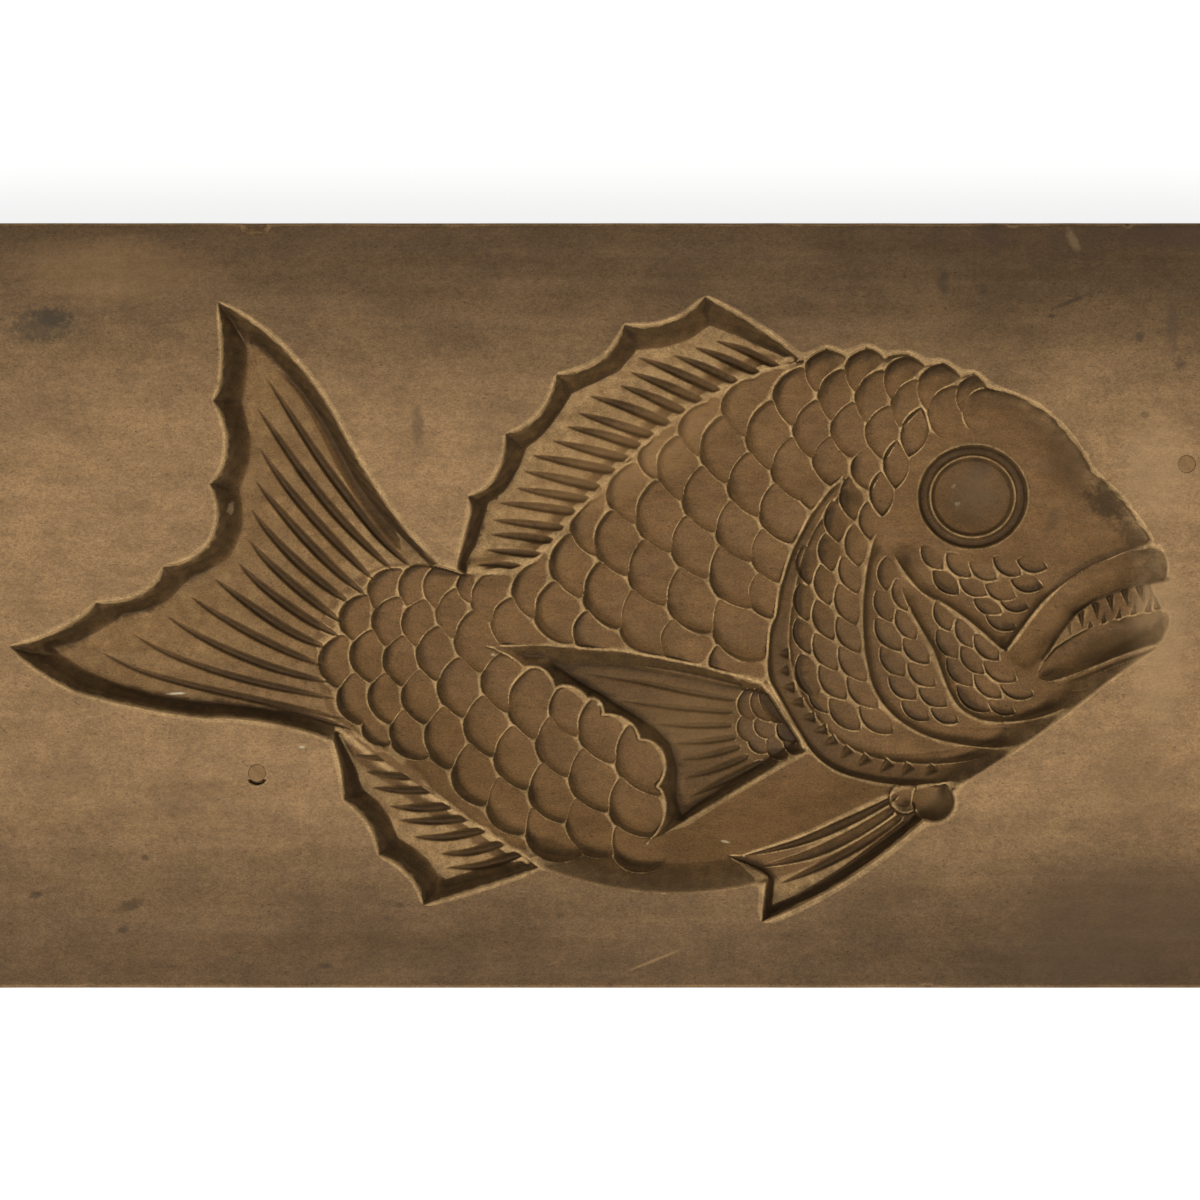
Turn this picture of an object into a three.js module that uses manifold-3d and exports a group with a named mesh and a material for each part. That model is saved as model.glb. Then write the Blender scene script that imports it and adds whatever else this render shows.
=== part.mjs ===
import * as THREE from "three";
import { mergeVertices } from "three/addons/utils/BufferGeometryUtils.js";
import Module from "manifold-3d";

// Wooden cake mould: one thick cherry plank with a sea bream carved into its face, and two round
// pegs set flush into the plain wood, below the tail and beyond the lips.
// Millimetres. The plank lies on its back, so +Z comes out of the carved face, +X runs towards the
// fish's head and +Y towards its back fin. The origin is the middle of the underside.

// Driving dimensions of the plank
const boardLength = 420;
const boardWidth = 240;
const boardThickness = 45;
const boardArris = 1.2;

// Plain wood left at least this wide outside the carved figure
const endMargin = 27.7;
const sideMargin = 20.4;

// Depths of the carving below the face
const bodyWallDepth = 7;
const bodyShoulderDepth = 11;
const bodyDepth = 14;
const tailDepth = 8.5;
const dorsalDepth = 8;
const analDepth = 7.5;
const pelvicDepth = 8;
const pectoralDepth = 16.5;
const lipDepth = 15;
const eyeRingDepth = 15.5;
const eyeBowlDepth = 17.5;
const eyeRimWidth = 1.1;
const mouthDepth = 6;
const rimLip = 0.2; // the walls drop straight for this much before they lean in
const knobDepth = 10;

// How far the walls lean in between the outline and the floor
const finWallRun = 4.5;
const bodyWallRun = 4;
const bodyShoulderRun = 13;
const bodyCrownRun = 26;
const pectoralWallRun = 3;
const lipWallRun = 2.5;

// Tool cuts
const rayWidth = 2.4;
const rayDepth = 1.4;
const gillGrooveWidth = 2.2;
const gillGrooveDepth = 1.2;

// Pegs, seated in blind bores
const pegDiameter = 5.6;
const pegLength = 22;
const pegClearance = 0.3;
const pegSides = 32;

// Fineness of the curved outlines
const outlineStep = 2.6;
const curveSteps = 12;
const straightTolerance = 0.02;
const overcut = 2;

// The figure is drawn in its own units, x to the right and y down. A stretch is [x, y] for a
// straight line to that point, [cx, cy, x, y] for a curve with one control point, and
// [c1x, c1y, c2x, c2y, x, y] for one with two.
const drawingCentre = [589, 605.5];

const tailOutline = [
  [217, 301],
  [286, 331, 334, 414],
  [357, 462, 400, 523],
  [418, 545, 437, 562],
  [452, 600],
  [430, 680],
  [372, 742],
  [330, 740],
  [266, 715, 204, 718],
  [134, 709, 76, 692],
  [34, 673, 8, 646],
  [64, 636, 96, 602],
  [152, 604, 163, 566],
  [215, 562, 227, 515, 209, 484],
  [229, 468, 233, 428, 212, 401],
  [223, 388, 224, 350, 217, 301],
];

const dorsalOutline = [
  [457, 569],
  [462, 545, 469, 519],
  [473, 509, 467, 496],
  [505, 487, 505, 433],
  [547, 425, 556, 374],
  [610, 370, 624, 324],
  [672, 332, 705, 296],
  [757, 320, 800, 358],
  [770, 420],
  [640, 520],
  [545, 590],
  [490, 604],
];

const analOutline = [
  [330, 729],
  [344, 765, 343, 800],
  [375, 820, 378, 855],
  [416, 870, 423, 906],
  [485, 888, 540, 868],
  [560, 840],
  [460, 760],
  [380, 712],
];

const bodyOutline = [
  [461, 574],
  [510, 580, 545, 551],
  [590, 500, 668, 430],
  [725, 380, 800, 358],
  [826, 343, 846, 354],
  [866, 343, 884, 354],
  [908, 349, 920, 362],
  [944, 356, 955, 370],
  [978, 369, 991, 387],
  [1060, 400, 1093, 470],
  [1128, 498, 1151, 545],
  [1172, 558, 1165, 582],
  [1152, 585],
  [1157, 603],
  [1171, 618, 1160, 646],
  [1106, 684],
  [1040, 738, 958, 787],
  [870, 850, 757, 884],
  [650, 910, 538, 867],
  [450, 810, 345, 733],
  [316, 700, 315, 640],
  [330, 585, 380, 568],
  [420, 558, 461, 574],
];

const pectoralOutline = [
  [484, 646],
  [640, 640, 763, 684],
  [807, 752],
  [725, 800, 642, 849],
  [668, 820, 660, 795],
  [666, 760, 640, 739],
  [625, 715, 601, 712],
  [590, 688, 556, 688],
  [520, 660, 484, 646],
];

const pelvicOutline = [
  [705, 856],
  [745, 861, 767, 878],
  [761, 923],
  [840, 892, 920, 824],
  [896, 792],
  [800, 836, 705, 856],
];

const upperLipOutline = [
  [1018, 664],
  [1040, 590, 1110, 556],
  [1165, 536, 1166, 575],
  [1100, 590, 1058, 640],
  [1040, 668, 1018, 664],
];

const lowerLipOutline = [
  [1062, 662],
  [1100, 622, 1163, 610],
  [1176, 640, 1150, 644],
  [1100, 655, 1062, 682],
];

// Cuts that follow a straight line: start x, y, then end x, y
const tailRays = [
  [260, 371, 402, 545],
  [251, 401, 388, 556],
  [255, 444, 374, 566],
  [251, 475, 362, 576],
  [247, 505, 352, 588],
  [245, 537, 342, 602],
  [233, 560, 334, 616],
  [209, 576, 328, 632],
  [161, 613, 324, 682],
  [124, 629, 332, 698],
  [89, 647, 336, 716],
];

const dorsalRays = [
  [474, 565, 520, 567],
  [482, 543, 540, 549],
  [488, 520, 563, 528],
  [513, 487, 591, 497],
  [530, 452, 613, 470],
  [566, 424, 640, 446],
  [587, 393, 670, 423],
  [617, 382, 683, 410],
  [638, 354, 720, 390],
  [673, 353, 734, 381],
  [716, 338, 780, 368],
];

const analRays = [
  [350, 748, 376, 760],
  [358, 772, 400, 782],
  [364, 792, 428, 803],
  [380, 812, 450, 824],
  [396, 836, 478, 842],
  [420, 862, 505, 858],
];

const pelvicRays = [
  [735, 862, 886, 806],
  [772, 884, 893, 820],
  [776, 902, 905, 832],
];

const pectoralRays = [
  [540, 656, 735, 702],
  [590, 680, 732, 716],
  [636, 712, 734, 730],
  [672, 750, 740, 742],
  [672, 790, 750, 752],
];

// Grooves along the edge of the gill cover and of the plates in front of it
const gillCoverGroove = [
  [862, 458],
  [823, 500],
  [785, 573],
  [778, 653],
  [787, 683],
  [833, 740],
  [907, 775],
  [962, 776],
];
const gillPlateGrooves = [
  [[882, 530], [868, 570], [866, 653], [885, 705], [927, 735], [990, 748]],
  [[893, 545], [905, 580], [937, 647], [960, 700], [1000, 722], [1035, 718]],
  [[893, 545], [930, 595], [975, 622], [1024, 664]],
];

const mouthOutline = [
  [1046, 668],
  [1068, 636, 1120, 597],
  [1150, 585, 1180, 581],
  [1180, 607],
  [1110, 615, 1046, 668],
];

const eye = { x: 976, y: 496, ringX: 55.6, ringY: 52.8, bowlX: 43, bowlY: 41 };
const knob = { x: 929, y: 801, radius: 23 };
const pegPlaces = { register_peg_lower: [257, 773], register_peg_upper: [1187, 464] };

const wasm = await Module();
wasm.setup();

const pathOf = (stretches) => {
  const path = new THREE.Path();
  path.moveTo(...stretches[0]);
  for (const stretch of stretches.slice(1)) {
    if (stretch.length === 2) path.lineTo(...stretch);
    else if (stretch.length === 4) path.quadraticCurveTo(...stretch);
    else path.bezierCurveTo(...stretch);
  }
  return path;
};

// The figure is drawn as large as the margins allow.
const outlines = [
  tailOutline,
  dorsalOutline,
  analOutline,
  bodyOutline,
  pectoralOutline,
  pelvicOutline,
];
const drawnPoints = outlines.flatMap((outline) => pathOf(outline).getPoints(curveSteps));
const reachX = Math.max(...drawnPoints.map((p) => Math.abs(p.x - drawingCentre[0])));
const reachY = Math.max(...drawnPoints.map((p) => Math.abs(p.y - drawingCentre[1])));
const unit = Math.min(
  (boardLength / 2 - endMargin) / reachX,
  (boardWidth / 2 - sideMargin) / reachY,
);

const place = (x, y) =>
  new THREE.Vector2((x - drawingCentre[0]) * unit, (drawingCentre[1] - y) * unit);

// A drawn outline as an anticlockwise loop of evenly spaced points on the plank, corners kept.
function loopOf(stretches) {
  const loop = [];
  const path = pathOf(stretches);
  path.closePath();
  for (const curve of path.curves) {
    const steps = Math.max(1, Math.round((curve.getLength() * unit) / outlineStep));
    for (const p of curve.getSpacedPoints(steps).slice(0, -1)) loop.push(place(p.x, p.y));
  }
  const apart = loop.filter((p, i) => p.distanceTo(loop.at(i - 1)) > outlineStep / 20);
  return THREE.ShapeUtils.isClockWise(apart) ? apart.reverse() : apart;
}

// The loop without the points that lie on the line between their neighbours.
function withoutStraightPoints(loop) {
  const kept = [];
  loop.forEach((point, i) => {
    const before = kept.at(-1) ?? loop.at(-1);
    const after = loop[(i + 1) % loop.length];
    const chord = after.clone().sub(before);
    const off = Math.abs(chord.cross(point.clone().sub(before))) / chord.length();
    if (off > straightTolerance) kept.push(point);
  });
  return kept;
}

function distanceToLoop(point, loop) {
  const nearest = new THREE.Vector3();
  const segment = new THREE.Line3();
  const from = new THREE.Vector3(point.x, point.y, 0);
  let least = Infinity;
  loop.forEach((a, i) => {
    const b = loop[(i + 1) % loop.length];
    segment.start.set(a.x, a.y, 0);
    segment.end.set(b.x, b.y, 0);
    segment.closestPointToPoint(from, true, nearest);
    least = Math.min(least, nearest.distanceTo(from));
  });
  return least;
}

// The loop moved inwards. Points that end nearer to the outline than that belong to a tip which
// the inner loop doesn't reach, and are left out.
function insetLoop(loop, distance) {
  const keepShare = 0.97;
  const moved = loop.map((point, i) => {
    const before = loop.at(i - 1);
    const after = loop[(i + 1) % loop.length];
    const along = after.clone().sub(before).normalize();
    return new THREE.Vector2(-along.y, along.x).multiplyScalar(distance).add(point);
  });
  return withoutKnots(
    moved.filter((point) => distanceToLoop(point, loop) > distance * keepShare),
  );
}

// Where the stretches a to b and c to d cross, or null.
function crossing(a, b, c, d) {
  const ab = b.clone().sub(a);
  const cd = d.clone().sub(c);
  const turn = ab.cross(cd);
  if (turn === 0) return null;
  const ac = c.clone().sub(a);
  const alongAb = ac.cross(cd) / turn;
  const alongCd = ac.cross(ab) / turn;
  const within = (share) => share > 0 && share < 1;
  return within(alongAb) && within(alongCd) ? ab.multiplyScalar(alongAb).add(a) : null;
}

// The loop without the small knots that moving it inwards ties at tight corners.
function withoutKnots(loop) {
  const mostPointsInKnot = 16;
  for (let i = 0; i < loop.length; i++) {
    const turned = [...loop.slice(i), ...loop.slice(0, i)];
    for (let j = 2; j < mostPointsInKnot; j++) {
      const at = crossing(turned[0], turned[1], turned[j], turned[j + 1]);
      if (at) return withoutKnots([turned[0], at, ...turned.slice(j + 1)]);
    }
  }
  return loop;
}

function solidFrom(geometry) {
  const bare = geometry.index ? geometry.toNonIndexed() : geometry.clone();
  bare.deleteAttribute("normal");
  bare.deleteAttribute("uv");
  const merged = mergeVertices(bare, 1e-4);
  return new wasm.Manifold(
    new wasm.Mesh({
      numProp: 3,
      vertProperties: merged.attributes.position.array,
      triVerts: new Uint32Array(merged.index.array),
    }),
  );
}

function geometryFrom(solid) {
  const mesh = solid.getMesh();
  const points = new Float32Array(mesh.numVert * 3);
  for (let i = 0; i < mesh.numVert; i++) {
    points.set(mesh.vertProperties.subarray(i * mesh.numProp, i * mesh.numProp + 3), i * 3);
  }
  const geometry = new THREE.BufferGeometry();
  geometry.setAttribute("position", new THREE.BufferAttribute(points, 3));
  geometry.setIndex(new THREE.BufferAttribute(mesh.triVerts, 1));
  return geometry.toNonIndexed();
}

// The block of wood that a recess takes away: nested loops, each with its height, joined by sloping
// walls, with a flat floor inside the last one and a flat top above the face.
function recess(drawnLevels) {
  const levels = drawnLevels.map(({ loop, z }) => ({ loop: withoutStraightPoints(loop), z }));
  const triangles = [];
  const lift = (point, z) => [point.x, point.y, z];
  const face = (a, b, c) => triangles.push(...a, ...b, ...c);
  const spread = (contour, holes, heights, facingUp) => {
    const all = [contour, ...holes].flat();
    for (const corners of THREE.ShapeUtils.triangulateShape(contour, holes)) {
      const [a, b, c] = corners.map((i) => lift(all[i], heights[i]));
      const area = (b[0] - a[0]) * (c[1] - a[1]) - (b[1] - a[1]) * (c[0] - a[0]);
      if (area > 0 === facingUp) face(a, b, c);
      else face(a, c, b);
    }
  };
  levels.slice(1).forEach((inner, i) => {
    const outer = levels[i];
    const heights = [...outer.loop.map(() => outer.z), ...inner.loop.map(() => inner.z)];
    spread(outer.loop, [inner.loop], heights, false);
  });
  const last = levels.at(-1);
  spread(last.loop, [], last.loop.map(() => last.z), false);
  const { loop: rim, z: rimZ } = levels[0];
  const top = boardThickness + overcut;
  rim.forEach((point, i) => {
    const next = rim[(i + 1) % rim.length];
    face(lift(point, rimZ), lift(next, rimZ), lift(next, top));
    face(lift(point, rimZ), lift(next, top), lift(point, top));
  });
  spread(rim, [], rim.map(() => top), true);
  const geometry = new THREE.BufferGeometry();
  geometry.setAttribute("position", new THREE.Float32BufferAttribute(triangles, 3));
  return solidFrom(geometry);
}

const below = (depth) => boardThickness - depth;

function finRecess(outline, depth, wallRun) {
  const loop = loopOf(outline);
  return recess([
    { loop, z: below(rimLip) },
    { loop: insetLoop(loop, wallRun), z: below(depth) },
  ]);
}

// The body sinks in three slopes to the flat middle. Between the lips a tongue of wood stays higher.
function bodyRecess() {
  const loop = loopOf(bodyOutline);
  const hollow = recess([
    { loop, z: below(rimLip) },
    { loop: insetLoop(loop, bodyWallRun), z: below(bodyWallDepth) },
    { loop: insetLoop(loop, bodyShoulderRun), z: below(bodyShoulderDepth) },
    { loop: insetLoop(loop, bodyCrownRun), z: below(bodyDepth) },
  ]);
  const tongue = new THREE.ExtrudeGeometry(new THREE.Shape(loopOf(mouthOutline)), {
    depth: below(mouthDepth),
    bevelEnabled: false,
  });
  return hollow.subtract(solidFrom(tongue));
}

// One gouge cut: a long, narrow hollow, deepest in the middle.
function rayCut([x1, y1, x2, y2], floorZ) {
  const from = place(x1, y1);
  const to = place(x2, y2);
  const cut = new THREE.SphereGeometry(1, 8, 6);
  cut.rotateX(Math.PI / 2);
  cut.scale(from.distanceTo(to) / 2, rayWidth / 2, rayDepth);
  cut.rotateZ(to.clone().sub(from).angle());
  cut.translate((from.x + to.x) / 2, (from.y + to.y) / 2, floorZ);
  return solidFrom(cut);
}

// The groove that parts two gill plates, cut with a round gouge along a curve.
function gillCut(points) {
  const floorZ = below(bodyShoulderDepth + (bodyDepth - bodyShoulderDepth) / 2);
  const line = new THREE.CatmullRomCurve3(
    points.map(([x, y]) => {
      const p = place(x, y);
      return new THREE.Vector3(p.x, p.y, floorZ);
    }),
  );
  const section = new THREE.Shape();
  section.absellipse(0, 0, gillGrooveWidth, gillGrooveWidth / 2, 0, Math.PI * 2);
  return solidFrom(
    new THREE.ExtrudeGeometry(section, {
      steps: 30,
      curveSegments: 4,
      bevelEnabled: false,
      extrudePath: line,
    }).translate(0, 0, -gillGrooveDepth),
  );
}

// A dished round or oval hollow whose edge is level with the floor round it.
function dish(x, y, radiusX, radiusY, rimZ, floorZ) {
  const sides = 40;
  const rings = 6;
  const profile = [new THREE.Vector2(0, floorZ)];
  for (let i = 1; i <= rings; i++) {
    const share = i / rings;
    profile.push(new THREE.Vector2(share, floorZ + (rimZ - floorZ) * share ** 4));
  }
  profile.push(new THREE.Vector2(1, boardThickness + overcut));
  profile.push(new THREE.Vector2(0, boardThickness + overcut));
  const bowl = new THREE.LatheGeometry(profile, sides);
  bowl.rotateX(Math.PI / 2);
  const centre = place(x, y);
  bowl.scale(radiusX * unit, radiusY * unit, 1);
  bowl.translate(centre.x, centre.y, 0);
  return solidFrom(bowl);
}

// The eye: a bowl inside a narrow rim, and a flat-bottomed ring round that.
function eyeRing() {
  const rim = eyeRimWidth / unit;
  const inner = dish(eye.x, eye.y, eye.bowlX + rim, eye.bowlY + rim, 0, 0);
  const floor = below(eyeRingDepth);
  return dish(eye.x, eye.y, eye.ringX, eye.ringY, floor, floor).subtract(inner);
}

function eyeBowl() {
  return dish(eye.x, eye.y, eye.bowlX, eye.bowlY, below(eyeRingDepth), below(eyeBowlDepth));
}

// The plank before carving, with a small flat along every edge.
function plank() {
  const outline = new THREE.Shape();
  const halfLength = boardLength / 2 - boardArris;
  const halfWidth = boardWidth / 2 - boardArris;
  outline.moveTo(-halfLength, -halfWidth);
  outline.lineTo(halfLength, -halfWidth);
  outline.lineTo(halfLength, halfWidth);
  outline.lineTo(-halfLength, halfWidth);
  outline.closePath();
  const block = new THREE.ExtrudeGeometry(outline, {
    depth: boardThickness - 2 * boardArris,
    bevelEnabled: true,
    bevelThickness: boardArris,
    bevelSize: boardArris,
    bevelSegments: 1,
  });
  return solidFrom(block.translate(0, 0, boardArris));
}

function pegBore([x, y]) {
  const depth = pegLength + pegClearance;
  const bore = new THREE.CylinderGeometry(
    pegDiameter / 2 + pegClearance,
    pegDiameter / 2 + pegClearance,
    depth + overcut,
    pegSides,
  );
  const centre = place(x, y);
  bore.rotateX(Math.PI / 2);
  bore.translate(centre.x, centre.y, below(depth) + (depth + overcut) / 2);
  return solidFrom(bore);
}

function carvedBoard() {
  const cuts = [
    finRecess(tailOutline, tailDepth, finWallRun),
    finRecess(dorsalOutline, dorsalDepth, finWallRun),
    finRecess(analOutline, analDepth, finWallRun),
    finRecess(pelvicOutline, pelvicDepth, finWallRun),
    bodyRecess(),
    finRecess(pectoralOutline, pectoralDepth, pectoralWallRun),
    finRecess(upperLipOutline, lipDepth, lipWallRun),
    finRecess(lowerLipOutline, lipDepth, lipWallRun),
    dish(knob.x, knob.y, knob.radius, knob.radius, below(pelvicDepth), below(knobDepth)),
    eyeRing(),
    eyeBowl(),
    ...tailRays.map((ray) => rayCut(ray, below(tailDepth))),
    ...dorsalRays.map((ray) => rayCut(ray, below(dorsalDepth))),
    ...analRays.map((ray) => rayCut(ray, below(analDepth))),
    ...pelvicRays.map((ray) => rayCut(ray, below(pelvicDepth))),
    ...pectoralRays.map((ray) => rayCut(ray, below(pectoralDepth))),
    gillCut(gillCoverGroove),
    ...gillPlateGrooves.map(gillCut),
    ...Object.values(pegPlaces).map(pegBore),
  ];
  return cuts.reduce((wood, cut) => wood.subtract(cut), plank());
}

function mesh(name, geometry, colour, roughness) {
  const material = new THREE.MeshStandardMaterial({ color: colour, roughness, metalness: 0 });
  const made = new THREE.Mesh(geometry, material);
  made.name = name;
  return made;
}

function peg(name, [x, y]) {
  const centre = place(x, y);
  const geometry = new THREE.CylinderGeometry(
    pegDiameter / 2,
    pegDiameter / 2,
    pegLength,
    pegSides,
  );
  const made = mesh(name, geometry, 0x735638, 0.7);
  made.rotation.x = Math.PI / 2;
  made.position.set(centre.x, centre.y, boardThickness - pegLength / 2);
  return made;
}

const mould = new THREE.Group();
mould.add(mesh("carved_board", geometryFrom(carvedBoard()), 0x8a6d4b, 0.65));
for (const [name, at] of Object.entries(pegPlaces)) mould.add(peg(name, at));

export default mould;
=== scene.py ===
"""Carved wooden cake mould: one thick cherry plank with a sea bream cut into its face.

Plan measures are in drawing units, x to the right and y down, 765 of them to the plank's width.
Heights and depths are in metres.
"""

import math

import bpy
import numpy as np
from bpy.props import FloatProperty, FloatVectorProperty, IntProperty, PointerProperty
from mathutils import Matrix, Vector


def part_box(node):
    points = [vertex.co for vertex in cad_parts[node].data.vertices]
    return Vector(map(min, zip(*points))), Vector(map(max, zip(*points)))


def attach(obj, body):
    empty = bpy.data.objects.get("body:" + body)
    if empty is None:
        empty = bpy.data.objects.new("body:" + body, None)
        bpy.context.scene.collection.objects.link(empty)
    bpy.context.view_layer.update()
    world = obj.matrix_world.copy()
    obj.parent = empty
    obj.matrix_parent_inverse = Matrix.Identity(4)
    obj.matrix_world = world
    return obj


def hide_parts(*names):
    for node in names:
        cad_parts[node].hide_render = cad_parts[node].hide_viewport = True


bl_info = {
    "name": "Carved Cake Mould",
    "version": (1, 0, 0),
    "blender": (4, 5, 0),
    "location": "3D View > Sidebar > Cake Mould",
    "description": "Carves a sea bream into a plank with gouge cuts and sets two pegs into it",
    "category": "Add Mesh",
}

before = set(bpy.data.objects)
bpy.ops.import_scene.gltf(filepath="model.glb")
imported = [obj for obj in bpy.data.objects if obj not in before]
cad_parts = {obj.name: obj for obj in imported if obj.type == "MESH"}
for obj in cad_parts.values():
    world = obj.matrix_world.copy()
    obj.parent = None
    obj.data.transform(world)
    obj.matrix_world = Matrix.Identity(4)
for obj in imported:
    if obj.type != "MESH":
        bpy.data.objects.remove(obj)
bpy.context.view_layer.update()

BOARD_LOW, BOARD_HIGH = (Vector(corner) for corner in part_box("carved_board"))
BOARD_WIDTH, PICTURE_WIDTH = 765, 1200  # In drawing units
UNIT = (BOARD_HIGH.y - BOARD_LOW.y) / BOARD_WIDTH
CENTRE = (589.0, 605.5)

# ---- the figure, measured on the carving -------------------------------------------------------
# A stretch is [x, y] for a straight line to that point, [cx, cy, x, y] for a curve with one
# control point, and [c1x, c1y, c2x, c2y, x, y] for one with two.
TAIL_OUTLINE = [
    [217, 301], [286, 331, 334, 414], [357, 462, 400, 523], [418, 545, 437, 562], [452, 600],
    [430, 680], [372, 742], [330, 740], [266, 715, 204, 718], [134, 709, 76, 692],
    [34, 673, 8, 646], [64, 636, 96, 602], [152, 604, 163, 566], [215, 562, 227, 515, 209, 484],
    [229, 468, 233, 428, 212, 401], [223, 388, 224, 350, 217, 301],
]
DORSAL_OUTLINE = [
    [457, 569], [462, 545, 469, 519], [473, 509, 467, 496], [505, 487, 505, 433],
    [547, 425, 556, 374], [610, 370, 624, 324], [672, 332, 705, 296], [757, 320, 800, 358],
    [770, 420], [640, 520], [545, 590], [490, 604],
]
ANAL_OUTLINE = [
    [330, 729], [344, 765, 343, 800], [375, 820, 378, 855], [416, 870, 423, 906],
    [485, 888, 540, 868], [560, 840], [460, 760], [380, 712],
]
# From the back fin round the brow and the lips to the chin, then along the chin and the belly
BACK_EDGE = [
    [826, 347], [835, 349, 848, 355], [866, 346], [876, 348, 885, 356], [898, 351, 910, 353],
    [926, 363], [944, 361], [962, 374], [975, 372], [991, 387], [1060, 400, 1093, 470],
    [1128, 498, 1153, 540], [1146, 546], [1160, 542, 1174, 556, 1166, 581], [1152, 585],
    [1157, 603], [1171, 618, 1160, 646],
]
CHIN_EDGE = [[1106, 684], [1040, 738, 958, 787]]
BELLY_EDGE = [650, 910, 538, 867]
BODY_OUTLINE = [
    [461, 574], [510, 580, 545, 551], [590, 495, 668, 425], [722, 377, 806, 359],
    *BACK_EDGE, *CHIN_EDGE, [870, 850, 757, 884], BELLY_EDGE, [450, 810, 345, 733],
    [316, 700, 315, 640], [330, 585, 380, 568], [420, 558, 461, 574],
]
PECTORAL_OUTLINE = [
    [484, 646], [640, 640, 763, 684], [807, 752], [725, 800, 642, 849],
    [664, 832, 676, 802, 656, 788], [676, 768, 662, 738, 639, 742], [636, 718, 614, 714, 602, 717],
    [604, 702, 596, 698, 587, 699], [578, 685, 564, 685, 554, 690], [550, 670, 536, 666, 524, 668],
    [506, 654, 484, 646],
]
PELVIC_OUTLINE = [
    [705, 856], [745, 861, 767, 878], [761, 923], [840, 892, 920, 824], [934, 811],
    [905, 786], [800, 836, 705, 856],
]

PECTORAL_PAD = [
    [738, 676], [762, 682], [768, 680], [809, 752], [790, 766], [757, 762], [742, 750],
    [733, 728], [735, 706], [746, 690],
]

# Where the walls of each hollow meet its floor
TAIL_FLOOR = [
    [251, 343], [249, 355], [246, 384], [241, 405], [246, 422], [250, 440], [248, 463],
    [241, 485], [243, 514], [240, 539], [232, 555], [216, 566], [188, 578], [168, 600],
    [140, 611], [120, 614], [105, 628], [75, 642], [50, 648], [60, 655], [84, 671], [115, 684],
    [153, 695], [191, 701], [242, 706], [293, 714], [344, 727], [380, 740], [450, 700],
    [450, 600], [430, 565], [400, 535], [375, 508], [355, 482], [339, 451], [322, 420],
    [300, 390], [281, 368], [262, 348],
]
DORSAL_FLOOR = [
    [463, 563], [475, 545], [483, 520], [487, 503], [505, 490], [520, 465], [527, 447],
    [545, 432], [560, 412], [572, 393], [595, 382], [620, 370], [637, 350], [668, 347],
    [697, 340], [712, 326], [745, 338], [795, 362], [790, 420], [640, 540], [540, 600],
    [470, 590],
]
ANAL_FLOOR = [
    [336, 735], [350, 760], [362, 790], [378, 802], [390, 820], [397, 838], [416, 850],
    [432, 864], [445, 880], [480, 869], [510, 862], [545, 855], [520, 800], [420, 730],
    [360, 715],
]
PECTORAL_FLOOR = [
    [556, 666], [620, 668], [680, 679], [740, 690], [800, 700], [800, 742], [765, 764],
    [735, 783], [700, 805], [683, 819], [677, 800], [678, 770], [671, 746], [655, 729],
    [625, 711], [604, 697], [580, 684],
]
PELVIC_FLOOR = [
    [728, 857], [765, 872], [774, 880], [772, 908], [800, 896], [850, 866], [905, 826],
    [927, 806], [908, 790], [897, 797], [800, 841], [745, 859],
]

# The parts of the body's edge that drop from the face
BACK_RIM = [[806, 359], *BACK_EDGE]
CHIN_RIM = [[1160, 646], *CHIN_EDGE]
BELLY_RIM = [[757, 884], BELLY_EDGE]
# Where the back and anal fins meet the body
FIN_ROOTS = [
    [[478, 577], [505, 573], [530, 562], [545, 551], [557, 536], [580, 508], [602, 485],
     [620, 466], [645, 442], [668, 424], [687, 410], [712, 395], [739, 382], [765, 370],
     [792, 361]],
    [[340, 727], [366, 741], [392, 757], [417, 774], [432, 791], [450, 806], [467, 820],
     [485, 831], [505, 846], [522, 855], [536, 863]],
]

# Plates of the gill cover, each open line running down the side that faces the tail
COVER_EDGE = [
    [852, 468], [833, 486], [813, 511], [797, 540], [787, 565], [780, 590], [776, 616],
    [770, 630], [768, 655], [769, 680], [783, 705], [797, 730], [815, 757], [838, 774],
    [870, 783], [905, 787], [940, 786], [962, 780],
]
ROUND_HEAD = [[1250, 820], [1250, 400], [860, 400]]  # Closes the cover's edge round the head
COLLAR_EDGE = [
    [856, 474], [836, 500], [818, 525], [804, 555], [796, 590], [791, 620], [790, 650],
    [796, 685], [812, 712], [833, 738], [862, 756], [900, 765], [950, 766], [1000, 754],
]
PLATE_EDGE = [
    [881, 522], [874, 545], [868, 570], [864, 610], [866, 653], [875, 693], [897, 720],
    [927, 738], [960, 746], [1000, 750], [1030, 742],
]
SECOND_PLATE_EDGE = [
    [899, 575], [912, 610], [925, 632], [937, 652], [946, 680], [957, 704], [968, 715],
    [993, 725], [1040, 720], [1080, 702],
]
CHEEK_EDGE = [
    [890, 540], [900, 562], [912, 580], [928, 596], [952, 607], [978, 626], [1000, 647],
    [1010, 652], [1025, 630], [1048, 600], [1070, 581],
]

UPPER_LIP = [
    [1010, 652], [1022, 637], [1035, 619], [1050, 601], [1069, 584], [1090, 570], [1110, 560],
    [1125, 552], [1145, 547], [1160, 551], [1166, 564], [1168, 579], [1168, 579], [1150, 582],
    [1133, 586],
    [1115, 592], [1095, 602], [1078, 615], [1062, 635], [1048, 655], [1038, 666], [1029, 671],
    [1018, 667],
]
LOWER_LIP = [
    [1058, 648], [1075, 637], [1095, 627], [1115, 620], [1140, 613], [1168, 609], [1171, 620],
    [1167, 633], [1160, 644], [1140, 650], [1115, 659], [1090, 669], [1066, 679], [1050, 683],
    [1038, 678], [1046, 662],
]
MOUTH_TONGUE = [
    [1044, 664], [1062, 635], [1078, 615], [1095, 602], [1115, 592], [1133, 586], [1150, 583],
    [1185, 578], [1185, 611], [1140, 613], [1115, 620], [1095, 627], [1075, 637], [1058, 648],
]

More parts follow.
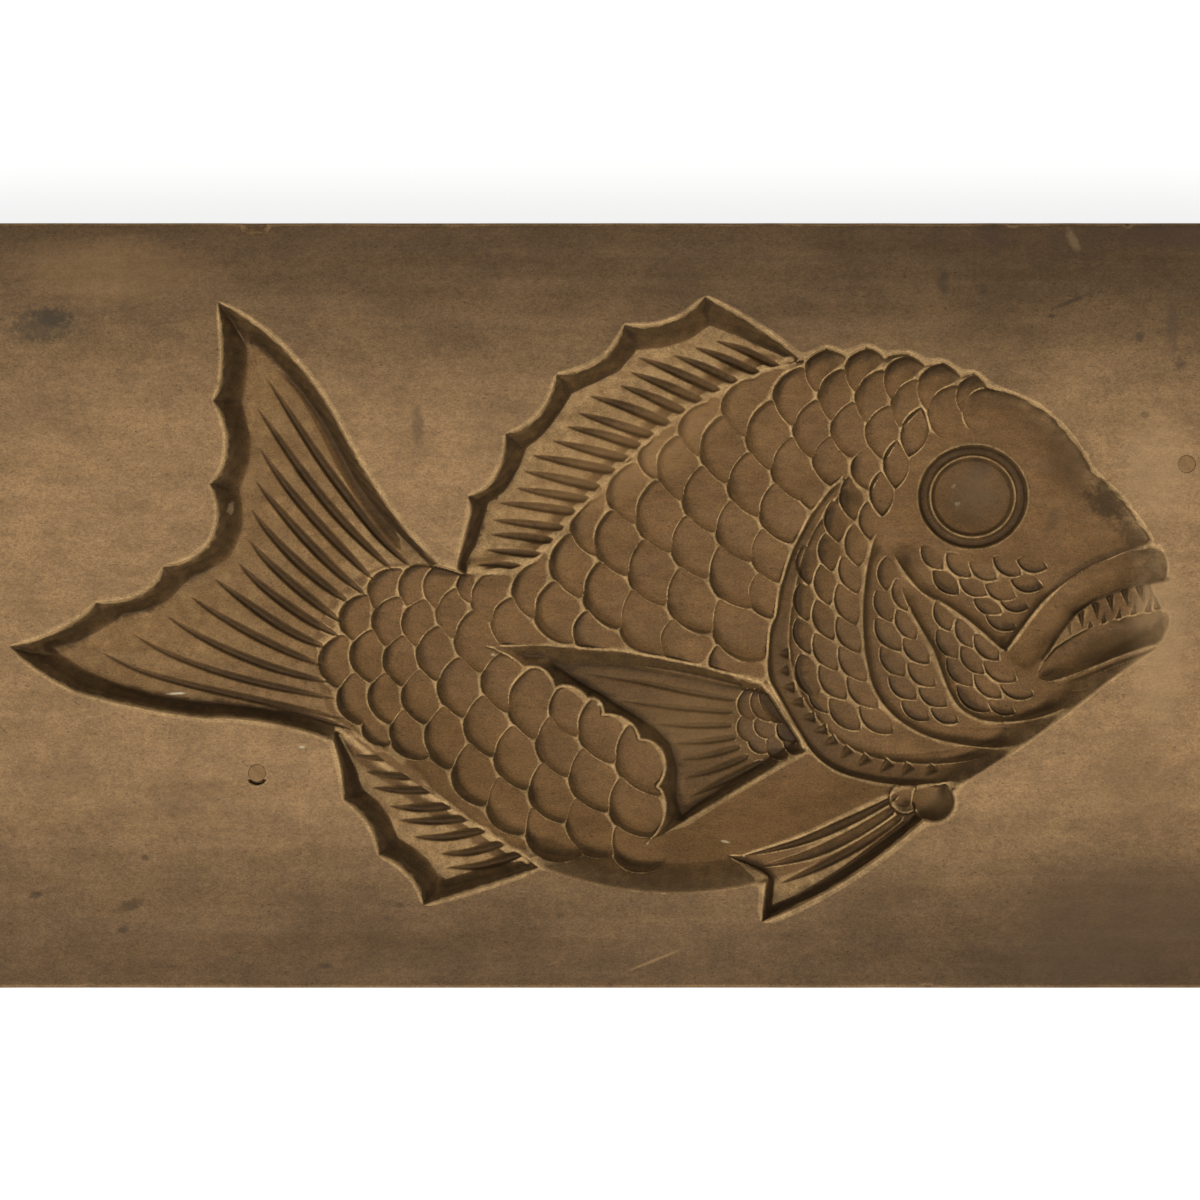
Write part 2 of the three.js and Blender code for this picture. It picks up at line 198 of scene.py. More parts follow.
EYE = (976, 496)
EYE_RING = (55.6, 52.8)
EYE_RIM = (42.6, 40.6)
KNOB = (934, 801, 21)
KNOB_LOBE = (906, 799, 15)
PEG_CENTRES = {"register_peg_lower": (257, 773), "register_peg_upper": (1187, 464)}

# One scale each: the top and the foot of its free edge, x, y, x, y
BODY_SCALES = [
    [338, 634, 334, 690], [348, 673, 362, 728], [365, 712, 385, 748],
    [362, 593, 348, 643], [367, 628, 365, 685], [380, 672, 388, 728], [398, 710, 415, 762],
    [398, 567, 371, 612], [396, 594, 380, 648], [398, 634, 400, 691], [413, 670, 425, 729],
    [439, 706, 452, 774], [464, 744, 485, 810], [494, 778, 523, 838], [527, 810, 573, 862],
    [424, 562, 403, 608], [420, 597, 413, 650], [433, 625, 434, 685], [455, 656, 459, 722],
    [480, 694, 489, 762], [507, 727, 524, 795], [538, 764, 565, 829], [571, 800, 608, 860],
    [614, 826, 653, 873],
    [442, 562, 432, 610], [456, 585, 450, 642], [474, 606, 477, 676], [497, 652, 505, 717],
    [530, 667, 533, 745], [553, 710, 565, 783], [579, 748, 608, 818], [616, 780, 648, 842],
    [463, 571, 472, 606], [480, 575, 495, 628], [511, 595, 503, 650], [556, 688, 579, 742],
    [590, 698, 613, 769], [627, 724, 657, 800],
    [524, 566, 537, 622], [552, 579, 558, 645], [584, 610, 592, 658],
    [565, 533, 581, 601], [596, 560, 620, 632], [630, 587, 665, 662],
    [584, 502, 595, 559], [609, 508, 626, 580], [638, 540, 668, 610], [671, 618, 684, 671],
    [623, 465, 633, 527], [652, 479, 670, 556], [675, 569, 710, 636], [717, 645, 730, 684],
    [650, 437, 655, 480], [677, 433, 681, 504], [684, 513, 706, 582], [717, 545, 757, 612],
    [716, 600, 768, 662],
    [697, 403, 697, 458], [721, 413, 726, 486], [697, 465, 716, 536], [727, 500, 754, 566],
    [757, 572, 776, 622],
    [742, 378, 742, 438], [771, 397, 771, 473], [744, 451, 759, 520], [761, 527, 784, 586],
    [797, 366, 791, 427], [815, 397, 814, 461], [788, 435, 802, 503], [772, 482, 793, 546],
    [824, 349, 814, 391], [844, 366, 831, 422], [851, 399, 852, 459], [830, 433, 833, 487],
    [812, 467, 813, 511],
    [866, 348, 854, 392], [885, 367, 866, 424], [889, 402, 882, 459], [865, 446, 871, 491],
    [908, 355, 891, 400], [919, 376, 902, 430],
    [943, 362, 926, 410], [957, 383, 937, 433], [975, 374, 965, 415], [991, 387, 967, 424],
]
LEAF_SCALES = [[923, 407, 911, 455], [899, 440, 898, 487], [883, 471, 885, 515]]
PLATE_SCALES = [
    [807, 545, 811, 584], [803, 583, 809, 621], [800, 618, 812, 654], [803, 655, 818, 699],
    [812, 690, 832, 714],
    [835, 500, 841, 541], [828, 533, 834, 571], [824, 564, 831, 605], [819, 600, 835, 640],
    [817, 634, 839, 671], [822, 666, 848, 700], [832, 700, 862, 731],
    [851, 476, 857, 519], [870, 501, 873, 539], [856, 524, 861, 566], [845, 556, 860, 593],
    [841, 584, 858, 625], [840, 617, 862, 653], [842, 647, 868, 682], [850, 678, 880, 709],
    [862, 707, 895, 734],
    [890, 556, 889, 590], [880, 590, 894, 622], [879, 619, 904, 651], [884, 647, 907, 677],
    [892, 677, 919, 700], [905, 702, 932, 721],
    [899, 579, 910, 611], [900, 610, 918, 640], [906, 639, 932, 664], [911, 664, 938, 687],
    [922, 689, 950, 707], [934, 709, 961, 723],
    [940, 601, 953, 631], [941, 630, 961, 659], [951, 658, 976, 687], [961, 686, 993, 712],
    [961, 619, 976, 648], [965, 647, 987, 675], [978, 675, 1004, 699], [991, 701, 1017, 714],
    [978, 635, 1002, 661], [987, 662, 1019, 682], [1003, 685, 1036, 696],
    [925, 546, 946, 569], [950, 553, 974, 577], [973, 562, 1000, 579], [997, 557, 1025, 575],
    [1021, 560, 1051, 568],
    [937, 570, 962, 594], [963, 579, 991, 595], [989, 585, 1020, 598], [1015, 580, 1047, 587],
    [978, 599, 1006, 613], [1004, 600, 1033, 608], [990, 614, 1020, 629],
]
PAD_SCALES = [
    [748, 690, 748, 722], [742, 718, 752, 745], [750, 738, 768, 756],
    [756, 690, 768, 724], [756, 722, 773, 741], [768, 742, 785, 762],
    [763, 683, 790, 728], [778, 728, 801, 745], [785, 742, 806, 756],
]

# Long gouge cuts, each a list of points along it followed by its width
TAIL_RAYS = [
    ([262, 372], [287, 410], [320, 460], [355, 507], [383, 541], [408, 564], 9),
    ([252, 402], [272, 430], [300, 470], [330, 508], [360, 540], [388, 566], 9),
    ([256, 444], [272, 468], [295, 498], [330, 537], [368, 575], 9),
    ([251, 476], [270, 500], [303, 538], [333, 568], [360, 591], 9),
    ([248, 506], [264, 528], [292, 558], [320, 582], [345, 600], 9),
    ([245, 537], [264, 559], [290, 583], [315, 603], [335, 618], 9),
    ([234, 560], [257, 583], [283, 603], [310, 621], [332, 633], 9),
    ([209, 576], [240, 599], [270, 620], [300, 637], [322, 646], 9),
    ([185, 594], [215, 614], [250, 634], [285, 651], [315, 663], 8),
    ([160, 613], [190, 632], [230, 652], [275, 669], [322, 681], 8),
    ([124, 630], [160, 651], [210, 670], [265, 685], [330, 698], 7),
    ([89, 647], [130, 668], [180, 683], [250, 699], [338, 718], 7),
    ([255, 705], [300, 713], [345, 728], 5),
]
TAIL_SHOULDER = [([268, 362], [299, 391], [322, 425], [342, 462], [368, 505], [402, 552], 17)]
DORSAL_RAYS = [
    ([474, 565], [497, 564], [520, 567], 6), ([482, 549], [512, 552], [542, 555], 6.5),
    ([487, 534], [520, 536], [553, 541], 7), ([489, 519], [525, 523], [563, 528], 7),
    ([496, 502], [535, 506], [576, 512], 7.5), ([513, 487], [550, 493], [591, 500], 7.5),
    ([521, 470], [560, 478], [601, 488], 8), ([529, 454], [572, 462], [615, 471], 8),
    ([549, 439], [590, 449], [632, 460], 8), ([564, 425], [603, 434], [643, 447], 8),
    ([575, 411], [615, 423], [657, 437], 8), ([587, 394], [630, 407], [672, 425], 8.5),
    ([617, 383], [652, 396], [687, 413], 8), ([628, 370], [665, 384], [704, 402], 8),
    ([636, 355], [677, 371], [720, 391], 8), ([672, 353], [705, 366], [739, 383], 7.5),
    ([693, 345], [725, 357], [759, 373], 7.5), ([712, 338], [747, 350], [783, 369], 7),
]
ANAL_RAYS = [
    ([352, 756], [372, 758], [392, 759], 5.5), ([362, 772], [388, 776], [416, 777], 6.5),
    ([369, 788], [400, 791], [433, 790], 7), ([386, 807], [418, 809], [451, 806], 7.5),
    ([395, 821], [430, 822], [469, 818], 7.5), ([410, 838], [446, 838], [484, 830], 7.5),
    ([437, 855], [470, 853], [503, 843], 7.5), ([443, 869], [485, 866], [526, 851], 7.5),
]
PELVIC_RAYS = [
    ([740, 858], [800, 843], [850, 822], [902, 794], 12),
    ([757, 869], [810, 856], [855, 835], [899, 808], 14),
    ([776, 887], [820, 868], [862, 845], [906, 815], 12),
    ([772, 911], [820, 890], [865, 860], [914, 820], 14),
]
PECTORAL_RAYS = [
    ([575, 673], [640, 683], [690, 693], [742, 702], 5),
    ([612, 701], [670, 708], [742, 714], 5), ([650, 725], [695, 727], [742, 726], 5.5),
    ([670, 745], [705, 743], [742, 738], 5.5), ([678, 762], [710, 757], [746, 747], 6),
    ([682, 781], [715, 772], [752, 757], 6.5), ([687, 801], [725, 783], [768, 762], 7),
    ([630, 664], [690, 673], [755, 688], 4.5),
]
COLLAR_NOTCHES = [
    [778, 654, 790, 654], [779, 672, 790, 671], [782, 688, 796, 688], [790, 704, 805, 703],
    [800, 719, 817, 718], [812, 733, 829, 730], [824, 747, 838, 740],
    [840, 762, 852, 750], [858, 769, 870, 758], [880, 775, 892, 763], [902, 778, 912, 766],
    [925, 778, 936, 768],
]
THROAT_LINES = [
    ([868, 754], [905, 756], [940, 753], [968, 747], 3),
    ([910, 724], [945, 728], [990, 729], [1020, 728], 3),
    ([1056, 690], [1075, 692], [1092, 690], 2.5),
    ([1054, 686], [1085, 676], [1120, 661], [1160, 646], 7),
]
LIP_LINES = [
    ([1007, 650], [1025, 625], [1045, 600], [1066, 580], [1090, 564], [1112, 555], [1135, 547], 12),
]
TEETH = [
    [1083, 611, 1086, 631, 7], [1098, 603, 1101, 622, 7], [1112, 596, 1115, 615, 7],
    [1126, 590, 1130, 609, 7], [1140, 586, 1144, 605, 7], [1071, 622, 1074, 639, 5],
    [1094, 630, 1092, 618, 6], [1107, 625, 1106, 611, 6], [1121, 620, 1122, 606, 6],
    [1135, 616, 1136, 601, 6], [1149, 612, 1150, 596, 6], [1158, 609, 1153, 590, 6],
]

# Chips out of the face's long edges: x, y, half length, half width, depth in metres
EDGE_CHIPS = [
    (256, 226, 17, 7, 0.0016), (300, 223, 6, 3, 0.0008), (452, 224, 9, 3, 0.0007),
    (702, 224, 12, 3, 0.0006), (1014, 224, 8, 3, 0.0008), (1128, 225, 5, 3, 0.001),
    (88, 987, 10, 3, 0.0007), (540, 988, 14, 3, 0.0006), (926, 987, 9, 3, 0.0008),
]
PLATE_TAPER = 30  # Drawing units over which a gill plate's step fades at its ends
FIGURE_X, FIGURE_Y = (-4, 1192), (288, 928)  # What the grid's fine part spans
END_RUN, END_PITCH, WIDE_PITCH = 12, 1.2, 4.0  # The grid near the plank's ends, and elsewhere
SIDE_STEP = 8  # Grid points of the face to each point of the plank's sides
# A scale's free edge bulges past the line between its ends by the first share of its radius,
# its middle lies the second share behind that line, and its half breadth is the third share of
# the line's length
SCALE_BULGE, SCALE_SET_BACK, SCALE_HALF = 0.684, 0.316, 0.527
FULL_SCALE = 0.019  # Metres: scales shorter than this are cut less deep
WEAR_LIFT = 0.0002  # Metres that worn ridges are raised by while the faces are reduced
SIDE_ROWS = (0.0415, 0.004, -0.005)  # Metres: the sides' first row of points, last and step
SIDE_WAVE = 0.00012  # Metres by which the sawn sides wander either way
SIDES_BELOW = 0.02  # No part of the carving lies below this height, in metres
WORN_BORDER, BORDER = 0.005, 0.004  # Metres along the edges without the carving's wear and dirt
FULLY_SUNK = 0.014  # The depth, in metres, at which the "sunk" attribute is 1


# ---- small helpers -----------------------------------------------------------------------------
def linear(hex_colour):
    """An sRGB hex colour as linear red, green, blue and alpha."""
    values = [int(hex_colour[i:i + 2], 16) / 255 for i in (1, 3, 5)]
    return [v / 12.92 if v <= 0.04045 else ((v + 0.055) / 1.055) ** 2.4 for v in values] + [1]


def add(tree, kind, inputs=None, **settings):
    """Adds a node, applies its settings, and fills or links its inputs. A node that is given as
    an input stands for its first output."""
    node = tree.nodes.new(kind)
    for name, value in settings.items():
        setattr(node, name, value)
    for key, value in (inputs or {}).items():
        if isinstance(value, bpy.types.Node):
            value = value.outputs[0]
        if isinstance(value, bpy.types.NodeSocket):
            tree.links.new(value, node.inputs[key])
        else:
            node.inputs[key].default_value = value
    return node


def maths(tree, operation, *values, clamp=False):
    """The result of a math node."""
    return add(tree, "ShaderNodeMath", dict(enumerate(values)), operation=operation,
               use_clamp=clamp).outputs[0]


def vector_maths(tree, operation, *values, **inputs):
    """The result of a vector math node: a number for a length or a dot product."""
    node = add(tree, "ShaderNodeVectorMath", {**dict(enumerate(values)), **inputs},
               operation=operation)
    return node.outputs["Value" if operation in ("LENGTH", "DOT_PRODUCT") else "Vector"]


def mapped(tree, value, low, high, to_low=0.0, to_high=1.0, steps="LINEAR"):
    """A value moved from one range to another, and kept inside it."""
    return add(tree, "ShaderNodeMapRange", {
        "Value": value, "From Min": low, "From Max": high, "To Min": to_low, "To Max": to_high},
        interpolation_type=steps).outputs[0]


def split(tree, vector):
    """A vector's x, y and z."""
    return add(tree, "ShaderNodeSeparateXYZ", {0: vector}).outputs


def joined(tree, x, y, z):
    """A vector made of x, y and z."""
    return add(tree, "ShaderNodeCombineXYZ", {0: x, 1: y, 2: z}).outputs[0]


def stored(tree, name, kind="FLOAT"):
    """A named attribute of the geometry that a tree works on."""
    return add(tree, "GeometryNodeInputNamedAttribute", {"Name": name}, data_type=kind).outputs[0]


def finish_tree(tree, geometry, material):
    """Ends a geometry tree, with real geometry in one material."""
    real = add(tree, "GeometryNodeRealizeInstances", {0: geometry})
    finished = add(tree, "GeometryNodeSetMaterial", {"Geometry": real, "Material": material})
    add(tree, "NodeGroupOutput", {0: finished})
    return tree


def emptied(data):
    """The node tree of a material or a world, with nothing in it."""
    data.use_nodes = True
    data.node_tree.nodes.clear()
    return data.node_tree


def place(x, y, z=0.0):
    """A drawn point on the plank, in metres."""
    return Vector(((x - CENTRE[0]) * UNIT, (CENTRE[1] - y) * UNIT, z))


def drawn_at(x, y):
    """Where points of the plank lie in the drawing."""
    return x / UNIT + CENTRE[0], CENTRE[1] - y / UNIT


def drawn(stretches, steps=10):
    """The points along a list of stretches."""
    points = [np.array(stretches[0], float)]
    for stretch in stretches[1:]:
        controls = [points[-1], *np.array(stretch, float).reshape(-1, 2)]
        if len(controls) == 2:
            points.append(controls[1])
            continue
        for t in np.linspace(0, 1, steps + 1)[1:]:
            level = controls
            while len(level) > 1:
                level = [a * (1 - t) + b * t for a, b in zip(level, level[1:])]
            points.append(level[0])
    return np.array(points)


def looped(points):
    return np.vstack([points, points[:1]])


def softened(points, closed=False):
    """The points of a line or a loop with their corners cut twice."""
    points = np.array(points, float)
    for _ in range(2):
        before, after = (points, np.roll(points, -1, axis=0)) if closed else (points[:-1],
                                                                               points[1:])
        cut = np.stack([0.75 * before + 0.25 * after, 0.25 * before + 0.75 * after], axis=1)
        cut = cut.reshape(-1, 2)
        points = cut if closed else np.vstack([points[:1], cut, points[-1:]])
    return points


def smooth(low, high, values):
    share = np.clip((values - low) / (high - low), 0, 1)
    return share * share * (3 - 2 * share)


def blended(grid, i, j, s, t):
    """The values at shares s and t of the way from a grid's row i and column j to the next."""
    upper = grid[i, j] * (1 - t) + grid[i, j + 1] * t
    lower = grid[i + 1, j] * (1 - t) + grid[i + 1, j + 1] * t
    return upper * (1 - s) + lower * s


def drift(x, y, cell_x, cell_y, seed):
    """Random values from -1 to 1 that change smoothly over the given cell."""
    columns = (x - x.min()) / cell_x
    rows = (y - y.min()) / cell_y
    grid = np.random.default_rng(seed).uniform(
        -1, 1, (int(rows.max()) + 3, int(columns.max()) + 3)
    )
    i, j = rows.astype(int), columns.astype(int)
    s, t = smooth(0, 1, rows - i), smooth(0, 1, columns - j)
    return blended(grid, i, j, s, t).astype(np.float32)


def blurred(values, radius, passes=3):
    """The values averaged over a round patch, by passes of a box."""
    out = values.astype(np.float64)
    width = max(1, int(round(radius)))
    span = 2 * width + 1
    for axis in (0, 1):
        pads = [(width + 1, width) if a == axis else (0, 0) for a in (0, 1)]
        count = values.shape[axis]
        for _ in range(passes):
            sums = np.cumsum(np.pad(out, pads, mode="edge"), axis=axis)
            high = np.take(sums, range(span, span + count), axis=axis)
            low = np.take(sums, range(count), axis=axis)
            out = (high - low) / span
    return out.astype(np.float32)


# ---- the carving's broad forms -----------------------------------------------------------------
def grid_line(middle, half, low, high, pitch):
    """Positions of grid lines: close from low to high and at both ends, and wide elsewhere."""
    samples = 20001
    fine = np.linspace(middle - half, middle + half, samples)
    end = half - np.abs(fine - middle)
    step = np.where((fine > low) & (fine < high), pitch,
                    np.where(end < END_RUN, END_PITCH, WIDE_PITCH))
    count = np.concatenate([[0], np.cumsum((fine[1] - fine[0]) / step[1:])])
    lines = SIDE_STEP * math.ceil(count[-1] / SIDE_STEP) + 1
    return np.interp(np.linspace(0, count[-1], lines), count, fine).astype(np.float32)


class Face:
    """The plank's face as depths, in metres, on a grid that is fine over the figure."""

    def __init__(self, pitch):
        half_x = (BOARD_HIGH.x - BOARD_LOW.x) / 2 / UNIT
        half_y = (BOARD_HIGH.y - BOARD_LOW.y) / 2 / UNIT
        self.xs = grid_line(CENTRE[0], half_x, *FIGURE_X, pitch)
        self.ys = grid_line(CENTRE[1], half_y, *FIGURE_Y, pitch)
        self.x, self.y = np.meshgrid(self.xs, self.ys)
        self.depth = np.zeros(self.x.shape, np.float32)

    def window(self, points, margin=0):
        """The part of the grid that holds the points."""
        low, high = points.min(axis=0) - margin, points.max(axis=0) + margin
        columns = slice(*np.searchsorted(self.xs, (low[0], high[0])))
        rows = slice(*np.searchsorted(self.ys, (low[1], high[1])))
        return rows, columns

    def inside(self, loop):
        """Which grid points lie inside a loop."""
        loop = np.array(loop, float)
        at = self.window(loop)
        x, y = self.x[at], self.y[at]
        part = np.zeros(x.shape, bool)
        for (ax, ay), (bx, by) in zip(loop, np.roll(loop, -1, axis=0)):
            if ay != by:
                crossing = (bx - ax) * (y - ay) / (by - ay) + ax
                part ^= ((ay > y) != (by > y)) & (x < crossing)
        out = np.zeros(self.x.shape, bool)
        out[at] = part
        return out

    def beside(self, line, margin=90):
        """How far each grid point lies from a line, and how far along the line that is."""
        line = np.array(line, float)
        at = self.window(line, margin)
        x, y = self.x[at], self.y[at]
        nearest = np.full(x.shape, 1e6, np.float32)
        along = np.zeros(x.shape, np.float32)
        start = 0.0
        for (ax, ay), (bx, by) in zip(line, line[1:]):
            dx, dy = bx - ax, by - ay
            length = math.hypot(dx, dy) + 1e-6
            share = np.clip(((x - ax) * dx + (y - ay) * dy) / length ** 2, 0, 1)
            gap = (x - ax - share * dx) ** 2 + (y - ay - share * dy) ** 2
            closer = gap < nearest
            nearest = np.where(closer, gap, nearest)
            along = np.where(closer, start + share * length, along)
            start += length
        away = np.full(self.x.shape, 1e3, np.float32)
        away[at] = np.sqrt(nearest)
        whole = np.zeros(self.x.shape, np.float32)
        whole[at] = along
        return away, whole, start

    def away(self, line, margin=90):
        """How far each grid point lies from a line."""
        return self.beside(line, margin)[0]

    def from_roots(self):
        """How far each grid point lies from the roots of the back and anal fins, up to 30."""
        return np.minimum(*(self.away(line, 30) for line in FIN_ROOTS))

    def drift(self, cell_x, cell_y, seed):
        """Random values over the grid that change smoothly over the given cell."""
        return drift(self.x, self.y, cell_x, cell_y, seed)

    def points(self, heights):
        """The grid's points at the given heights, in metres."""
        return np.stack([(self.x - CENTRE[0]) * UNIT, (CENTRE[1] - self.y) * UNIT, heights],
                        axis=-1).reshape(-1, 3)

    def between(self, rim, floor, widest=25):
        """0 at the rim, 1 on the floor. No wall is wider than the widest."""
        from_rim, along, _ = self.beside(looped(rim), 5)
        from_floor = np.where(self.inside(floor), 0, self.away(looped(floor)))
        share = np.minimum(from_rim / np.minimum(from_rim + from_floor + 1e-6, widest), 1)
        # The gouge leaves upright facets of uneven width in the walls
        turn = (along + 5 * np.sin(along / 17) + 3 * np.sin(along / 7.3 + 1)) / 16 % 1
        return share + 0.40 * (0.5 - np.abs(turn - 0.5)) * share * (1 - share)

    def sample(self, values, x, y):
        """The values of a grid at loose points."""
        column = np.interp(x, self.xs, np.arange(len(self.xs))).clip(0, len(self.xs) - 1.001)
        row = np.interp(y, self.ys, np.arange(len(self.ys))).clip(0, len(self.ys) - 1.001)
        i, j = row.astype(int), column.astype(int)
        return blended(values, i, j, row - i, column - j)


def wear_arris(face, sizes):
    """Rounds the edges of the plank's face and breaks a few chips out of them."""
    inward = np.minimum(np.minimum(face.x - face.xs[0], face.xs[-1] - face.x),
                        np.minimum(face.y - face.ys[0], face.ys[-1] - face.y)) * UNIT
    radius = sizes.arris * (1 + 0.35 * face.drift(37, 37, 5))
    gap = np.clip(radius - inward, 0, radius)
    face.depth += radius - np.sqrt(np.maximum(radius ** 2 - gap ** 2, 0))
    for x, y, half_length, half_width, depth in EDGE_CHIPS:
        reach = np.hypot((face.x - x) / half_length, (face.y - y) / half_width)
        ragged = reach + 0.25 * face.drift(5, 3, 11)
        face.depth = np.maximum(face.depth, depth * smooth(1, 0.55, ragged))
    # The gap under the lower peg
    x, y = PEG_CENTRES["register_peg_lower"]
    nick = smooth(11.6, 10.2, np.hypot(face.x - x, face.y - y - 1)) * smooth(y + 5, y + 9, face.y)
    face.depth = np.maximum(face.depth, 0.0018 * nick)


def hollow_fin(face, outline, floor, depth, root_depth, root_run, body_line):
    """A fin: walls from its outline to its floor's edge, and a floor that rises to the root."""
    outline = drawn(outline)
    share = face.between(outline, np.array(floor, float))
    from_body = face.away(body_line)
    floor_depth = root_depth + (depth - root_depth) * smooth(0, root_run, from_body)
    hollow = floor_depth * (1 - (1 - share) ** 1.3) * (1 + 0.03 * face.drift(23, 23, 21))
    face.depth = np.where(face.inside(outline), np.maximum(face.depth, hollow), face.depth)


def hollow_body(face, sizes):
    """The body and head: a crowned hollow whose free edges drop from the face."""
    outline = drawn(BODY_OUTLINE)
    face.body = face.inside(outline)
    inward = face.away(looped(outline), 5) * UNIT
    share = smooth(-0.04 * sizes.crown_run, sizes.crown_run, inward)
    depth = sizes.body_edge_depth + (sizes.body_depth - sizes.body_edge_depth) * share
    depth *= 1 - 0.30 * smooth(1040, 1165, face.x)
    for rim, run, power, step in ((BACK_RIM, 40, 2.5, 0.3), (CHIN_RIM, 24, 1.7, 0),
                                  (BELLY_RIM, 30, 1.35, 0)):
        away = face.away(drawn(rim), 60)
        wall = step * (0.4 + 0.6 * smooth(1010, 970, face.x)) * np.clip(away / 3.5, 0, 1)
        depth *= wall + (1 - wall) * (1 - (1 - np.clip(away / run, 0, 1)) ** power)
    face.depth = np.where(face.body, depth, face.depth)


def raise_fin_roots(face):
    """A low ridge of untouched wood is left between the body and the back and anal fins."""
    for line in FIN_ROOTS:
        away = face.away(line, 30) + 2.4 * face.drift(8, 8, 17)
        face.depth -= 0.0006 * np.exp(-(away / 4.5) ** 2) * (face.depth > 0.002)


def drop_plate(face, edge, closing, drop, wall_run, rise_run):
    """A gill plate: the wood drops along its edge and rises again towards the snout."""
    edge = softened(edge)
    away, along, length = face.beside(edge)
    wall = 1 - (1 - np.clip(away / wall_run, 0, 1)) ** 2
    cut = drop * wall * (1 - smooth(0, rise_run, away))
    cut *= smooth(0, PLATE_TAPER, along) * smooth(0, PLATE_TAPER, length - along)
    face.depth += np.where(face.inside(np.vstack([edge, closing])) & face.body, cut, 0)


def hollow_lip(face, outline, depth, run):
    """A lip: a rounded trough that is deepest along its middle."""
    outline = softened(outline, True)
    share = np.clip(face.away(looped(outline), 5) / run, 0, 1)
    face.depth += np.where(face.inside(outline), depth * (1 - (1 - share) ** 2), 0)


def hollow_eye(face, sizes):
    x, y = face.x - EYE[0], face.y - EYE[1]
    ring = np.hypot(x / EYE_RING[0], y / EYE_RING[1])
    rim = np.hypot(x / EYE_RIM[0], y / EYE_RIM[1])
    groove = sizes.eye_ring_depth * smooth(1.005, 0.92, ring) ** 0.7
    groove *= np.clip((rim - 1) / 0.09, 0, 1) ** 0.6
    bowl = sizes.eye_bowl_depth * (0.8 * np.clip((1 - rim) / 0.10, 0, 1) ** 0.5 + 1 - rim ** 2)
    face.depth += np.maximum(groove, np.where(rim < 1, bowl, 0))


def carve_broad_forms(face, sizes):
    """All the forms that the small gouge cuts are later made in."""
    face.depth += 0.00007 * face.drift(95, 60, 3)
    wear_arris(face, sizes)
    body_line = looped(drawn(BODY_OUTLINE))
    for outline, floor, depth, root_run in (
        (TAIL_OUTLINE, TAIL_FLOOR, sizes.tail_depth, 62),
        (DORSAL_OUTLINE, DORSAL_FLOOR, sizes.fin_depth, 26),
        (ANAL_OUTLINE, ANAL_FLOOR, sizes.fin_depth, 24),
    ):
        hollow_fin(face, outline, floor, depth, sizes.root_depth, root_run, body_line)
    hollow_body(face, sizes)
    raise_fin_roots(face)
    hollow_fin(face, PELVIC_OUTLINE, PELVIC_FLOOR, sizes.fin_depth, sizes.fin_depth, 1, body_line)

    far = [[1250, 800], [1250, 300], [1000, 300]]  # Closes an edge beyond the snout
    for edge, closing, drop, wall_run, rise_run in (
        (COVER_EDGE, ROUND_HEAD, 0.0026, 8, 60),
        (COLLAR_EDGE, [[1250, 800], [1250, 400], [870, 400]], 0.0020, 8, 60),
        (PLATE_EDGE, [*far, [890, 480]], 0.0026, 10, 70),
        (SECOND_PLATE_EDGE, [*far, [905, 540]], 0.0026, 10, 70),
        (CHEEK_EDGE, [[1250, 500], *far[1:], [890, 400]], 0.0034, 15, 60),
    ):
        drop_plate(face, edge, closing, drop, wall_run, rise_run)
    hollow_lip(face, UPPER_LIP, 0.0014, 18)
    hollow_lip(face, LOWER_LIP, 0.0026, 16)

    level = 0.0012 + sizes.mouth_depth * smooth(1174, 1125, face.x)
    face.depth = np.where(face.inside(MOUTH_TONGUE), np.minimum(face.depth, level), face.depth)
    hollow_eye(face, sizes)

    pectoral = drawn(PECTORAL_OUTLINE)
    face.pectoral = face.inside(pectoral)
    share = face.between(pectoral, np.array(PECTORAL_FLOOR, float))
    drop = 0.0010 + 0.0048 * smooth(470, 530, face.x)
    face.depth += np.where(face.pectoral, drop * share, 0)

    outside = ~face.inside(COVER_EDGE + ROUND_HEAD)
    for (x, y, radius), start, depth in ((KNOB_LOBE, 0.0062, 0.0068), (KNOB, 0.0058, 0.0074)):
        reach = np.hypot(face.x - x, face.y - y) / radius
        start = start * smooth(9, -5, 0.75 * (face.x - x) + 0.65 * (face.y - y))
        bowl = start + (depth - start) * np.maximum(1 - reach ** 2, 0) ** 0.8
        face.depth = np.where((reach < 1) & outside, bowl, face.depth)


def cut_rooms(face):
    """Where each group of small cuts may reach: 1 inside and 0 outside."""
    cover = face.inside(COVER_EDGE + ROUND_HEAD)
    cover &= (face.y > 520) | (face.x < 845)
    pelvic = face.inside(drawn(PELVIC_OUTLINE))
    pad = face.inside(PECTORAL_PAD)
    leaves = np.zeros(face.x.shape, bool)
    for top_x, top_y, foot_x, foot_y in LEAF_SCALES:
        x, y, dx, dy = (top_x + foot_x) / 2, (top_y + foot_y) / 2, foot_x - top_x, foot_y - top_y
        leaves |= face.inside([[top_x, top_y], [x - 0.3 * dy, y + 0.3 * dx], [foot_x, foot_y],
                               [x + 0.3 * dy, y - 0.3 * dx]])
    lips = face.inside(UPPER_LIP) | face.inside(LOWER_LIP)
    from_roots = face.from_roots()
    mouth = face.inside(MOUTH_TONGUE)
    return {
        "body_room": face.body & ~cover & ~face.pectoral & ~pelvic & ~pad & ~leaves,
        "head_room": face.body & ~lips & ~mouth & ~pelvic,
        "pad_room": pad,
        "fin_room": ~face.pectoral,
        "ray_room": ~face.body * smooth(-1, 3, from_roots),
        "pelvic_room": pelvic,
        "pectoral_room": face.pectoral & ~pad,
        "mouth_room": mouth & (face.x < 1163),
    }


